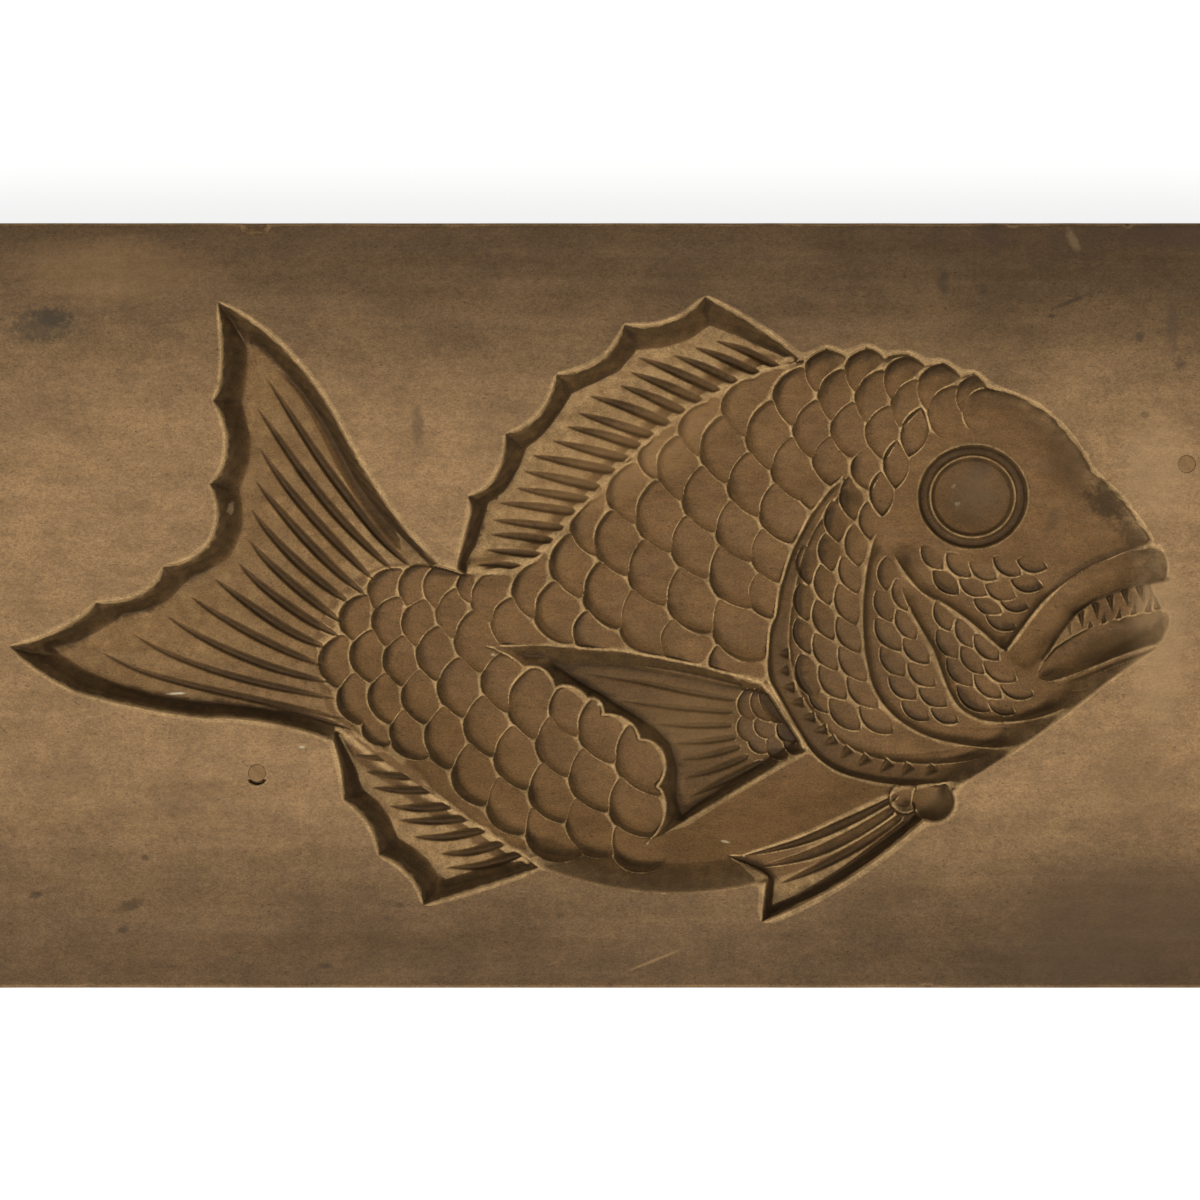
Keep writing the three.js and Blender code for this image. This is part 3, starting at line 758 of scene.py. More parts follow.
# ---- gouge cuts, made with geometry nodes ------------------------------------------------------
def new_tree(name, sockets):
    """An empty tree with named inputs, its group input node and its output node."""
    tree = bpy.data.node_groups.new(name, "GeometryNodeTree")
    tree.is_modifier = True
    tree.interface.new_socket("Geometry", in_out="OUTPUT", socket_type="NodeSocketGeometry")
    for label, kind, default in sockets:
        socket = tree.interface.new_socket(label, in_out="INPUT", socket_type="NodeSocket" + kind)
        if default is not None:
            socket.default_value = default
    return tree, add(tree, "NodeGroupInput").outputs


def scoop_tree():
    """Cutting sheets for scales: a round hollow with a steep wall on one side and a floor that
    rises to nothing on the other, one for each point."""
    tree, given = new_tree("scale_scoops", [
        ("Geometry", "Geometry", None),
        ("Depth", "Float", 0.0018),
        ("Wall share", "Float", 0.17),
        ("Floor rise", "Float", 1.5),
        ("Pointed", "Float", 0.3),
        ("Unevenness", "Float", 0.12),
        ("Seed", "Int", 7),
        ("Material", "Material", None),
    ])
    rings, wall_rings = 8, 3
    foot = (rings - wall_rings) / rings
    disc = add(tree, "GeometryNodeMeshCone", {
        "Vertices": 40, "Side Segments": rings, "Radius Top": 1.0, "Radius Bottom": 0.0,
        "Depth": 1.0}, fill_type="NONE")
    flat = vector_maths(tree, "MULTIPLY", add(tree, "GeometryNodeInputPosition"), (1, 1, 0))
    radius = vector_maths(tree, "LENGTH", flat)
    heading = vector_maths(tree, "NORMALIZE", flat)
    facing = vector_maths(tree, "DOT_PRODUCT", heading, (-0.82, -0.57, 0))
    crescent = maths(tree, "MAXIMUM", facing, 0.42)
    width = maths(tree, "MULTIPLY", crescent, given["Wall share"])
    floor_part = mapped(tree, radius, 0, foot, 0, maths(tree, "SUBTRACT", 1.0, width))
    wall_part = mapped(tree, radius, foot, 1)
    reach = maths(tree, "ADD", floor_part, maths(tree, "MULTIPLY", wall_part, width))
    spread = vector_maths(tree, "SCALE", heading, Scale=reach)
    x, y, _ = split(tree, spread)
    ahead = vector_maths(tree, "DOT_PRODUCT", spread, (0.98, 0.12, 0))
    run = maths(tree, "MULTIPLY_ADD", ahead, 0.5, 0.5)
    risen = maths(tree, "MULTIPLY", run, given["Floor rise"])
    floor = maths(tree, "SUBTRACT", 1.0, risen, clamp=True)
    wall = maths(tree, "SUBTRACT", 1.0, maths(tree, "POWER", wall_part, 1.8))
    down = maths(tree, "MULTIPLY", maths(tree, "MULTIPLY", floor, wall), -1.0)
    left_over = maths(tree, "SUBTRACT", 1.0, maths(tree, "MULTIPLY", y, y), clamp=True)
    pinch = add(tree, "ShaderNodeMix", {
        0: given["Pointed"], 2: 1.0, 3: maths(tree, "SQRT", left_over)}, data_type="FLOAT")
    across = maths(tree, "MULTIPLY", x, pinch)
    sheet = add(tree, "GeometryNodeSetPosition", {
        "Geometry": disc, "Position": joined(tree, across, y, down)})

    uneven = add(tree, "FunctionNodeRandomValue", {
        2: maths(tree, "SUBTRACT", 1.0, given["Unevenness"]),
        3: maths(tree, "ADD", 1.0, given["Unevenness"]), "Seed": given["Seed"]},
        data_type="FLOAT")
    length, breadth, share = split(tree, stored(tree, "size", "FLOAT_VECTOR"))
    cut_depth = maths(tree, "MULTIPLY", given["Depth"], uneven.outputs[1])
    full_depth = maths(tree, "MULTIPLY", cut_depth, share)
    rotation = add(tree, "FunctionNodeAxisAngleToRotation", {
        "Axis": (0, 0, 1), "Angle": stored(tree, "turn")})
    placed = add(tree, "GeometryNodeInstanceOnPoints", {
        "Points": given["Geometry"], "Instance": sheet, "Rotation": rotation,
        "Scale": joined(tree, length, breadth, full_depth)})
    return finish_tree(tree, placed, given["Material"])


def groove_tree():
    """Cutting sheets for long cuts: a rounded groove along each line, a needle at its start and
    blunter at its end, or widest at its start and pointed at its end. It may lean to one side."""
    tree, given = new_tree("gouge_grooves", [
        ("Geometry", "Geometry", None),
        ("Depth ratio", "Float", 0.5),
        ("Point", "Float", 0.0),
        ("Lean", "Float", 0.0),
        ("End sharpness", "Float", 0.33),
        ("Material", "Material", None),
    ])
    line = add(tree, "GeometryNodeMeshToCurve", {0: given["Geometry"]})
    curved = add(tree, "GeometryNodeCurveSplineType", {0: line}, spline_type="CATMULL_ROM")
    fine = add(tree, "GeometryNodeResampleCurve", {0: curved, "Count": 21})
    along = add(tree, "GeometryNodeSplineParameter")
    rest = maths(tree, "SUBTRACT", 1.0, along)
    needle = maths(tree, "POWER", along, 0.75)
    blunt = maths(tree, "POWER", rest, given["End sharpness"])
    both = maths(tree, "MULTIPLY", needle, blunt)
    lens = maths(tree, "MULTIPLY", both, 1.94, clamp=True)
    taper = add(tree, "ShaderNodeMix", {0: given["Point"], 2: lens, 3: rest}, data_type="FLOAT")
    half = maths(tree, "MULTIPLY", stored(tree, "width"), 0.5)
    radius = maths(tree, "MULTIPLY", half, taper)
    sized = add(tree, "GeometryNodeSetCurveRadius", {0: fine, "Radius": radius})
    kept = add(tree, "GeometryNodeStoreNamedAttribute", {
        0: sized, "Name": "half_width", "Value": radius}, data_type="FLOAT", domain="POINT")
    across = add(tree, "GeometryNodeCurvePrimitiveLine", {"Start": (-1, 0, 0), "End": (1, 0, 0)})
    nine = add(tree, "GeometryNodeResampleCurve", {0: across, "Count": 9})
    marked = add(tree, "GeometryNodeStoreNamedAttribute", {
        0: nine, "Name": "across", "Value": add(tree, "GeometryNodeSplineParameter")},
        data_type="FLOAT", domain="POINT")
    strip = add(tree, "GeometryNodeCurveToMesh", {
        "Curve": kept, "Profile Curve": marked, "Scale": radius})
    side = maths(tree, "MULTIPLY_ADD", stored(tree, "across"), 2.0, -1.0)
    bowl = maths(tree, "SUBTRACT", maths(tree, "MULTIPLY", side, side), 1.0)
    tilt = maths(tree, "MULTIPLY_ADD", side, given["Lean"], 1.0)
    leaning = maths(tree, "MULTIPLY", bowl, tilt)
    scaled = maths(tree, "MULTIPLY", leaning, stored(tree, "half_width"))
    down = maths(tree, "MULTIPLY", scaled, given["Depth ratio"])
    x, y, _ = split(tree, add(tree, "GeometryNodeInputPosition"))
    shaped = add(tree, "GeometryNodeSetPosition", {
        "Geometry": strip, "Position": joined(tree, x, y, down)})
    return finish_tree(tree, shaped, given["Material"])


def carving_tree():
    """Lowers the wood by the depth of the cutting sheets over it, inside the room for them."""
    tree, given = new_tree("carve_with_cuts", [
        ("Geometry", "Geometry", None),
        ("Cutters", "Object", None),
        ("Room", "String", "body_room"),
        ("Material", "Material", None),
    ])
    cutters = add(tree, "GeometryNodeObjectInfo", {"Object": given["Cutters"]})
    x, y, _ = split(tree, add(tree, "GeometryNodeInputPosition"))
    ray = add(tree, "GeometryNodeRaycast", {
        "Target Geometry": cutters.outputs["Geometry"],
        "Source Position": joined(tree, x, y, -0.05), "Ray Direction": (0, 0, 1),
        "Ray Length": 0.1})
    _, _, sheet = split(tree, ray.outputs["Hit Position"])
    cut = maths(tree, "MULTIPLY", sheet, stored(tree, given["Room"]))
    found = maths(tree, "MULTIPLY", cut, ray.outputs["Is Hit"])
    lowered = add(tree, "GeometryNodeSetPosition", {
        "Geometry": given["Geometry"], "Offset": joined(tree, 0, 0, found)})
    return finish_tree(tree, lowered, given["Material"])


def fit_modifier(piece, tree, values):
    """Puts a tree on a piece, with its inputs set by their sockets' identifiers."""
    modifier = piece.modifiers.new(tree.name, "NODES")
    modifier.node_group = tree
    sockets = {item.name: item.identifier for item in tree.interface.items_tree
               if item.in_out == "INPUT"}
    for name, value in values.items():
        modifier[sockets[name]] = value
    return modifier


def loose_object(name, points, edges=(), faces=()):
    mesh = bpy.data.meshes.new(name)
    mesh.from_pydata([tuple(p) for p in points], edges, faces)
    return in_scene(name, mesh)


def store(mesh, name, kind, values):
    """Stores values as a point attribute."""
    attribute = mesh.attributes.new(name, kind, "POINT")
    key = "vector" if kind == "FLOAT_VECTOR" else "value"
    attribute.data.foreach_set(key, np.asarray(values, np.float32).ravel())


def read(items, name, width=1, kind=np.float32):
    """One property of all the items, a row for each item where it has several values."""
    values = np.empty(len(items) * width, kind)
    items.foreach_get(name, values)
    return values.reshape(-1, width) if width > 1 else values


def in_scene(name, data):
    """A new object in the scene."""
    piece = bpy.data.objects.new(name, data)
    bpy.context.scene.collection.objects.link(piece)
    return piece


def grid_quads(index):
    """The faces between the points of a grid, facing up where its rows run down the drawing."""
    return np.stack([index[:-1, :-1], index[1:, :-1], index[1:, 1:], index[:-1, 1:]],
                    axis=-1).reshape(-1, 4)


def baked(piece):
    """The piece's evaluated mesh, as a plain mesh of its own."""
    graph = bpy.context.evaluated_depsgraph_get()
    return bpy.data.meshes.new_from_object(piece.evaluated_get(graph))


def scale_cutters(name, scales, tree, sizes, depth, bulge, rise, leaf, wood):
    """One scoop for each scale, its wall along the scale's free edge. A leaf is a narrow pocket
    with an edge on both sides."""
    centres, turns, reaches = [], [], []
    for top_x, top_y, foot_x, foot_y in scales:
        top, foot = place(top_x, top_y), place(foot_x, foot_y)
        chord = foot - top
        headwards = Vector((-chord.y, chord.x, 0)).normalized()
        across = bulge * chord.length / (1 if leaf else SCALE_BULGE)
        set_back = (0 if leaf else SCALE_SET_BACK) * across
        centres.append((top + foot) / 2 + set_back * headwards)
        turns.append(math.atan2(headwards.y, headwards.x))
        share = min(1.15, (chord.length / FULL_SCALE) ** 0.5)
        reaches.append((across, SCALE_HALF * chord.length, share))
    piece = loose_object(name, centres)
    store(piece.data, "turn", "FLOAT", turns)
    store(piece.data, "size", "FLOAT_VECTOR", reaches)
    fit_modifier(piece, tree, {
        "Depth": depth, "Wall share": sizes.scale_wall_share, "Floor rise": rise,
        "Pointed": 0.75 if leaf else 0.3, "Seed": len(scales), "Material": wood})
    return piece


def groove_cutters(name, cuts, tree, ratio, point, lean, sharp, wood):
    """One groove for each cut, a list of points followed by a width."""
    points, edges, widths = [], [], []
    for cut in cuts:
        line, width = cut[:-1], cut[-1]
        edges += [(len(points) + i, len(points) + i + 1) for i in range(len(line) - 1)]
        points += [place(x, y) for x, y in line]
        widths += [width * UNIT] * len(line)
    piece = loose_object(name, points, edges)
    store(piece.data, "width", "FLOAT", widths)
    fit_modifier(piece, tree, {
        "Depth ratio": ratio, "Point": point, "Lean": lean, "End sharpness": sharp,
        "Material": wood})
    return piece


def grid_object(face, rooms):
    """The face as a mesh whose points lie in the grid's order."""
    points = face.points(BOARD_HIGH.z - face.depth)
    index = np.arange(face.x.size, dtype=np.int32).reshape(face.x.shape)
    piece = in_scene("face_grid", mesh_from("face_grid", points, grid_quads(index)))
    for name, room in rooms.items():
        store(piece.data, name, "FLOAT", room.astype(np.float32))
    return piece


def mesh_from(name, points, faces, triangles=None):
    """A mesh from arrays of points, quads and triangles."""
    mesh = bpy.data.meshes.new(name)
    loops = faces.ravel()
    starts = np.arange(0, len(loops), 4, dtype=np.int32)
    if triangles is not None and len(triangles):
        starts = np.concatenate([starts, len(loops) + np.arange(0, triangles.size, 3,
                                                                dtype=np.int32)])
        loops = np.concatenate([loops, triangles.ravel()])
    mesh.vertices.add(len(points))
    mesh.vertices.foreach_set("co", points.astype(np.float32).ravel())
    mesh.loops.add(len(loops))
    mesh.loops.foreach_set("vertex_index", loops.astype(np.int32))
    mesh.polygons.add(len(starts))
    mesh.polygons.foreach_set("loop_start", starts)
    mesh.update(calc_edges=True)
    return mesh


# ---- the plank as one closed solid -------------------------------------------------------------
def ring(index):
    """The border of a grid of point numbers, anticlockwise seen from above."""
    return np.concatenate([index[-1, :-1], index[::-1, -1][:-1], index[0, ::-1][:-1],
                           index[:-1, 0]])


def ring_quads(upper, lower):
    return np.stack([upper, lower, np.roll(lower, -1), np.roll(upper, -1)], -1)


def stitched(fine, coarse):
    """Triangles between a fine ring above and a ring below with one point to SIDE_STEP."""
    fine = np.concatenate([fine, fine[:1]])
    parts = []
    for number, foot in enumerate(coarse):
        after = coarse[(number + 1) % len(coarse)]
        first = number * SIDE_STEP
        for k in range(SIDE_STEP):
            near = foot if k < SIDE_STEP // 2 else after
            parts.append((fine[first + k], near, fine[first + k + 1]))
        parts.append((foot, after, fine[first + SIDE_STEP // 2]))
    return np.array(parts)


def closed_plank(face, heights, arris):
    """The carved face with the plank's sides and underside, as points, quads and triangles."""
    index = np.arange(heights.size).reshape(heights.shape)
    points, quads = [face.points(heights)], [grid_quads(index)]
    upper = ring(index)[::SIDE_STEP]
    edge = points[0][upper]
    outward = np.sign(edge[:, :2]) * (
        np.abs(np.abs(edge[:, :2]) - [BOARD_HIGH.x, BOARD_HIGH.y]) < 1e-5)
    count, start = len(upper), heights.size
    along = np.arange(count, dtype=float)
    # Rows of points down the sides, each with its height and how far it is set in
    levels = [(z, 0) for z in np.arange(*SIDE_ROWS)]
    levels += [(arris, 0), (0.3 * arris, 0.3 * arris)]
    triangles = None
    for number, (level, inset) in enumerate(levels):
        wave = SIDE_WAVE * (1 + drift(along, np.full(count, 3.0 * number), 9, 4, 40 + number))
        layer = edge.copy()
        layer[:, :2] -= outward * (wave + inset)[:, None]
        layer[:, 2] = level
        points.append(layer)
        lower = start + np.arange(count)
        start += count
        if triangles is None:
            triangles = stitched(ring(index), lower)
        else:
            quads.append(ring_quads(upper, lower))
        upper = lower
    xs = (face.xs[::SIDE_STEP] - CENTRE[0]) * UNIT * (1 - arris / BOARD_HIGH.x)
    ys = (CENTRE[1] - face.ys[::SIDE_STEP]) * UNIT * (1 - arris / BOARD_HIGH.y)
    x, y = np.meshgrid(xs, ys)
    points.append(np.stack([x, y, np.zeros(x.shape)], axis=-1).reshape(-1, 3))
    under = start + np.arange(x.size).reshape(x.shape)
    quads += [grid_quads(under)[:, [0, 3, 2, 1]], ring_quads(upper, ring(under))]
    return np.concatenate(points), np.concatenate(quads), triangles


def turned(name, profile, count):
    """A closed form turned about Z, from (radius, height) pairs that start and end on the axis."""
    points = [(0, 0, profile[0][1])]
    for radius, height in profile[1:-1]:
        points += [(radius * math.cos(a), radius * math.sin(a), height)
                   for a in np.linspace(0, 2 * math.pi, count, endpoint=False)]
    points.append((0, 0, profile[-1][1]))
    following = [(i + 1) % count for i in range(count)]
    faces = [(0, 1 + following[i], 1 + i) for i in range(count)]
    for layer in range(len(profile) - 3):
        a, b = 1 + layer * count, 1 + (layer + 1) * count
        faces += [(a + i, a + following[i], b + following[i], b + i) for i in range(count)]
    top = 1 + (len(profile) - 3) * count
    faces += [(len(points) - 1, top + i, top + following[i]) for i in range(count)]
    return loose_object(name, points, (), faces)


def carve_small_cuts(face, sizes, wood):
    """The scales, fin rays and teeth, cut into the face by geometry nodes. Returns heights."""
    scoops, grooves, carving = scoop_tree(), groove_tree(), carving_tree()
    plate_depth = sizes.plate_scale_depth

    def scales(name, points, depth, bulge, rise, leaf=False):
        return scale_cutters(name, points, scoops, sizes, depth, bulge, rise, leaf, wood)

    def cuts(name, lines, ratio, point=0.0, lean=0.0, sharp=0.33):
        return groove_cutters(name, lines, grooves, ratio, point, lean, sharp, wood)

    notches = [([c, d], [a, b], 13) for a, b, c, d in COLLAR_NOTCHES]
    teeth = [([a, b], [c, d], width) for a, b, c, d, width in TEETH]

    def broad(lines, share, longer=0):
        # The same cuts, wider and run on past their ends
        made = []
        for *points, width in lines:
            before, last = np.array(points[-2:], float)
            last += longer * (last - before) / np.linalg.norm(last - before)
            made.append((*points[:-1], list(last), share * width))
        return made

    groups = [
        (scales("body_scale_cuts", BODY_SCALES, sizes.scale_depth, 0.36, sizes.scale_rise),
         "body_room"),
        (scales("leaf_scale_cuts", LEAF_SCALES, 0.0023, 0.29, 0.8, True), "head_room"),
        (scales("plate_scale_cuts", PLATE_SCALES, plate_depth, 0.29, 1.0, True), "head_room"),
        (scales("pad_scale_cuts", PAD_SCALES, plate_depth, 0.30, 1.2), "pad_room"),
        (cuts("tail_shoulder_cut", TAIL_SHOULDER, 0.35), "fin_room"),
        (cuts("tail_ray_cuts", broad(TAIL_RAYS, 1.5, 9), 1.3 * sizes.ray_ratio, 0.0, 0.5, 0.55),
         "fin_room"),
        (cuts("back_fin_ray_cuts", broad(DORSAL_RAYS + ANAL_RAYS, 1.4, 5), 0.85, 0.0, 0.3),
         "ray_room"),
        (cuts("pelvic_ray_cuts", PELVIC_RAYS, 0.8, 0.0, 0.5), "pelvic_room"),
        (cuts("pectoral_ray_cuts", broad(PECTORAL_RAYS, 1.35), 1.3 * sizes.ray_ratio, 0.0, 0.4),
         "pectoral_room"),
        (cuts("throat_cuts", THROAT_LINES, 0.6), "head_room"),
        (cuts("lip_line_cuts", LIP_LINES, 0.35, 0.6, 0.8), "head_room"),
        (cuts("collar_notch_cuts", notches, 0.8, 1.0), "head_room"),
        (cuts("tooth_cuts", broad(teeth, 1.25), 1.3, 1.0), "mouth_room"),
    ]
    block = grid_object(face, {name: blurred(room.astype(np.float32), 1, 1)
                               for name, room in cut_rooms(face).items()})
    for cutters, room in groups:
        fit_modifier(block, carving, {"Cutters": cutters, "Room": room, "Material": wood})
    mesh = baked(block)
    heights = read(mesh.vertices, "co", 3)[:, 2].reshape(face.x.shape)
    bpy.data.meshes.remove(mesh)
    for piece in [block, *(cutters for cutters, _ in groups)]:
        bpy.data.objects.remove(piece)
    return heights


def finish_by_hand(face, heights):
    """Softens the cuts as use does, and leaves the low waves of the gouge in the hollows."""
    heights = 0.5 * heights + 0.5 * blurred(heights, 1, 1)
    sunk = smooth(0.001, 0.005, BOARD_HIGH.z - heights)
    return heights - sunk * 0.00004 * (1 + face.drift(15, 11, 31))


def wear_dirt_and_painted_shade(face, heights):
    """Where ridges are rubbed, and where dirt and painted shade darken the wood, as grids of 0 to
    1.
    """
    # How far the wood stands out from what lies round it, narrowly and widely
    near = heights - blurred(heights, 1, 2)
    wide = heights - blurred(heights, 6)
    uneven = 1 + 0.6 * face.drift(6, 6, 61)
    rim = 0.95 * smooth(0.00005, 0.00020, uneven * (heights - blurred(heights, 2, 2)))
    rim *= heights > BOARD_HIGH.z - 0.0007
    # How deep the small cuts go, and how level the broad forms are
    cut = BOARD_HIGH.z - face.depth - heights
    down, right = np.gradient(blurred(face.depth, 2, 2), face.ys, face.xs)
    level = smooth(0.75, 0.35, np.hypot(down, right) / UNIT)

    # The fins are rubbed between their rays, most of all at their roots
    fins = blurred(~face.body & ~face.pectoral & (face.depth > 0.003), 2, 2)
    from_roots = face.from_roots()
    worn = np.maximum(smooth(0.000013, 0.0001, near), 0.65 * smooth(0.00012, 0.00060, wide))
    worn *= 1 - 0.75 * fins * smooth(3, 7, from_roots)
    rubbed = 0.46 + 0.13 * smooth(330, 360, face.x)
    rubbed += 0.30 * smooth(26, 2, from_roots) + 0.2 * smooth(8, 3, from_roots)
    rubbed *= smooth(0.0006, 0.0001, cut) * np.maximum(level, smooth(8, 5, from_roots))
    worn = np.maximum(np.maximum(worn, rim), fins * rubbed * (0.9 + 0.2 * uneven))
    # The eye and the pectoral fin less, and the brow's edge most
    eye = np.hypot((face.x - EYE[0]) / EYE_RING[0], (face.y - EYE[1]) / EYE_RING[1]) < 1.1
    worn *= 1 - 0.3 * eye
    fan = smooth(0.6, 1.0, blurred(face.pectoral & ~face.inside(PECTORAL_PAD), 3, 2))
    worn *= 1 - 0.55 * fan
    brow = face.away(drawn(BACK_RIM), 30) + 1.8 * face.drift(7, 7, 71)
    brow = smooth(4, 1.2, brow) * smooth(980, 1050, face.x) * smooth(560, 545, face.y)
    worn = np.maximum(worn, 0.9 * brow)

    # Creases, the small cuts and the mouth are painted darker, and the fins' steep walls too:
    # partly dirt, partly painted shade
    dirt_and_shade = np.maximum(smooth(0.00002, 0.00014, -near), smooth(0.0001, 0.0009, -wide))
    dirt_and_shade = np.maximum(dirt_and_shade, 0.9 * fins * smooth(0.0002, 0.0011, cut))
    dirt_and_shade = np.maximum(dirt_and_shade, 0.55 * fan * smooth(0.0002, 0.0009, cut))
    # Painted shade, partly dirt: the steeper a fin's wall, the darker, in the lower fins and the
    # tail
    walls = fins * (1 - level) * smooth(0.0006, 0.0024, face.depth)
    walls *= np.maximum(smooth(600, 660, face.y), smooth(450, 430, face.x))
    dirt_and_shade = np.maximum(dirt_and_shade, 0.4 * walls)
    mouth = face.inside(MOUTH_TONGUE)
    darker_mouth = mouth * smooth(1168, 1158, face.x)
    dirt_and_shade = np.maximum(dirt_and_shade, darker_mouth * (0.25 + 0.65 * smooth(0.0002, 0.0010, cut)))
    # Painted darker under the upper lip and in the line over the lip, and painted shade along the
    # collar's groove
    under = smooth(3.2, 1.2, face.away(softened(UPPER_LIP[11:17]), 30))
    dirt_and_shade = np.maximum(dirt_and_shade, 0.9 * under)
    worn *= 1 - 0.9 * under
    # Painted shade: the collar's floor is darkened as shade lies in the groove between its steep
    # walls, and keeps little wear
    collar = face.inside(COVER_EDGE + ROUND_HEAD) & ~face.inside(COLLAR_EDGE + ROUND_HEAD)
    collar = blurred(collar & face.body & (face.y > 520), 2, 2)
    dirt_and_shade = np.maximum(dirt_and_shade, 0.5 * collar)
    worn *= 1 - 0.6 * collar * smooth(6, 9, face.away(COVER_EDGE, 30))
    for *line, _ in LIP_LINES:
        away = face.away(line, 30) + 1.5 * face.drift(9, 9, 83)
        dirt_and_shade = np.maximum(dirt_and_shade, 0.65 * smooth(7.5, 1, away) * ~face.inside(UPPER_LIP))

    across, along = np.abs(face.x - CENTRE[0]) * UNIT, np.abs(face.y - CENTRE[1]) * UNIT
    worn *= (across < BOARD_HIGH.x - WORN_BORDER) & (along < BOARD_HIGH.y - WORN_BORDER)
    return worn * (1 - 0.35 * mouth), dirt_and_shade


def mark_use(mesh, face, worn, dirt_and_shade):
    """Stores how worn each point is, how much dirt and painted shade darken it and how sunk it
    is, which the finish reads, and takes back the lift that kept points along the worn ridges."""
    places = read(mesh.vertices, "co", 3)
    x, y, z = places.T
    upper = z > SIDES_BELOW
    wear = np.where(upper, face.sample(worn, *drawn_at(x, y)), 0)
    z -= WEAR_LIFT * wear
    mesh.vertices.foreach_set("co", places.ravel())
    store(mesh, "wear", "FLOAT", wear)
    inner = upper & (np.abs(x) < BOARD_HIGH.x - BORDER) & (np.abs(y) < BOARD_HIGH.y - BORDER)
    store(mesh, "grime_and_shade", "FLOAT", np.where(inner, face.sample(dirt_and_shade, *drawn_at(x, y)), 0))
    depth = np.clip((BOARD_HIGH.z - z) / FULLY_SUNK, 0, 2)
    store(mesh, "sunk", "FLOAT", np.where(inner, depth, 0))


def shade_as_grid(mesh, face, heights):
    """Shades the carved face as the fine grid lies, corner by corner, so that the larger faces
    of the reduced mesh don't show."""
    down, right = np.gradient(blurred(heights, 1, 1), face.ys, face.xs)
    points = read(mesh.vertices, "co", 3)
    corners = read(mesh.loops, "vertex_index", kind=np.int32)
    counts = read(mesh.polygons, "loop_total", kind=np.int32)
    middles, facing = read(mesh.polygons, "center", 3), read(mesh.polygons, "normal", 3)
    owner = np.repeat(np.arange(len(counts)), counts)
    x, y, _ = (0.75 * points[corners] + 0.25 * middles[owner]).T
    column, row = drawn_at(x, y)
    normals = np.stack([-face.sample(right, column, row), face.sample(down, column, row),
                        np.full(len(x), UNIT)], axis=-1)
    normals /= np.linalg.norm(normals, axis=1)[:, None]
    carved = (facing[:, 2] > 0.05) & (middles[:, 2] > SIDES_BELOW)
    normals[~carved[owner]] = 0  # These keep their own shading
    mesh.normals_split_custom_set(normals.tolist())


def build_plank(sizes, wood):
    """The whole plank: broad forms, small cuts, sides, bores and a sensible number of faces."""
    face = Face(sizes.grid_pitch)
    carve_broad_forms(face, sizes)
    heights = finish_by_hand(face, carve_small_cuts(face, sizes, wood))
    worn, dirt_and_shade = wear_dirt_and_painted_shade(face, heights)
    points, quads, triangles = closed_plank(face, heights + WEAR_LIFT * worn, sizes.arris)
    draft = in_scene("plank_draft", mesh_from("plank", points, quads, triangles))
    reduce = draft.modifiers.new("fewer_faces", "DECIMATE")
    reduce.ratio = sizes.triangles / (2 * len(quads) + len(triangles))
    bores = []
    for node in PEG_CENTRES:
        centre, radius, length = peg_place(node)
        hole = radius + sizes.peg_gap
        bore = turned(node + "_bore", [(0, 0), (hole, 0), (hole, length + 0.01),
                                       (0, length + 0.01)], 40)
        bore.data.transform(Matrix.Translation(
            centre + Vector((0, -0.6 * sizes.peg_gap, -length - 0.0003))))
        cut = draft.modifiers.new(node, "BOOLEAN")
        cut.solver, cut.object = "MANIFOLD", bore
        bores.append(bore)
    mesh = baked(draft)
    for piece in [draft, *bores]:
        bpy.data.objects.remove(piece)
    mesh.name = "plank"
    plank = in_scene("plank", mesh)
    mark_use(mesh, face, worn, dirt_and_shade)
    mesh.shade_smooth()
    mesh.set_sharp_from_angle(angle=math.radians(24))
    shade_as_grid(mesh, face, heights)
    mesh.materials.clear()
    mesh.materials.append(wood)
    return plank


def peg_place(node):
    """The middle of a peg's top, its radius and its length."""
    low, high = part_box(node)
    return (Vector(((low.x + high.x) / 2, (low.y + high.y) / 2, high.z)),
            (high.x - low.x) / 2, high.z - low.z)


def build_peg(node, wood):
    """A peg cut off flush: slightly crowned, with a worn edge and not quite round."""
    centre, radius, length = peg_place(node)
    profile = [(0, -length), (radius - 0.0005, -length), (radius, -length + 0.0006)]
    profile += [(radius, -length * k / 6) for k in range(5, 0, -1)]
    profile += [(radius, -0.0004), (radius - 0.0001, -0.00018), (radius - 0.0004, -0.00010),
                (radius * 0.6, -0.00006), (radius * 0.3, -0.00005), (0, -0.00005)]
    peg = turned(node + "_wood", profile, 48)
    for vertex in peg.data.vertices:
        angle = math.atan2(vertex.co.y, vertex.co.x)
        vertex.co.xy *= 0.992 + 0.008 * math.sin(2 * angle + 0.7)
    peg.data.transform(Matrix.Translation(centre))
    peg.data.shade_smooth()
    peg.data.set_sharp_from_angle(angle=math.radians(40))
    peg.data.materials.append(wood)
    return peg


# ---- finishes ----------------------------------------------------------------------------------
def colour(value):
    return (*value, 1.0)


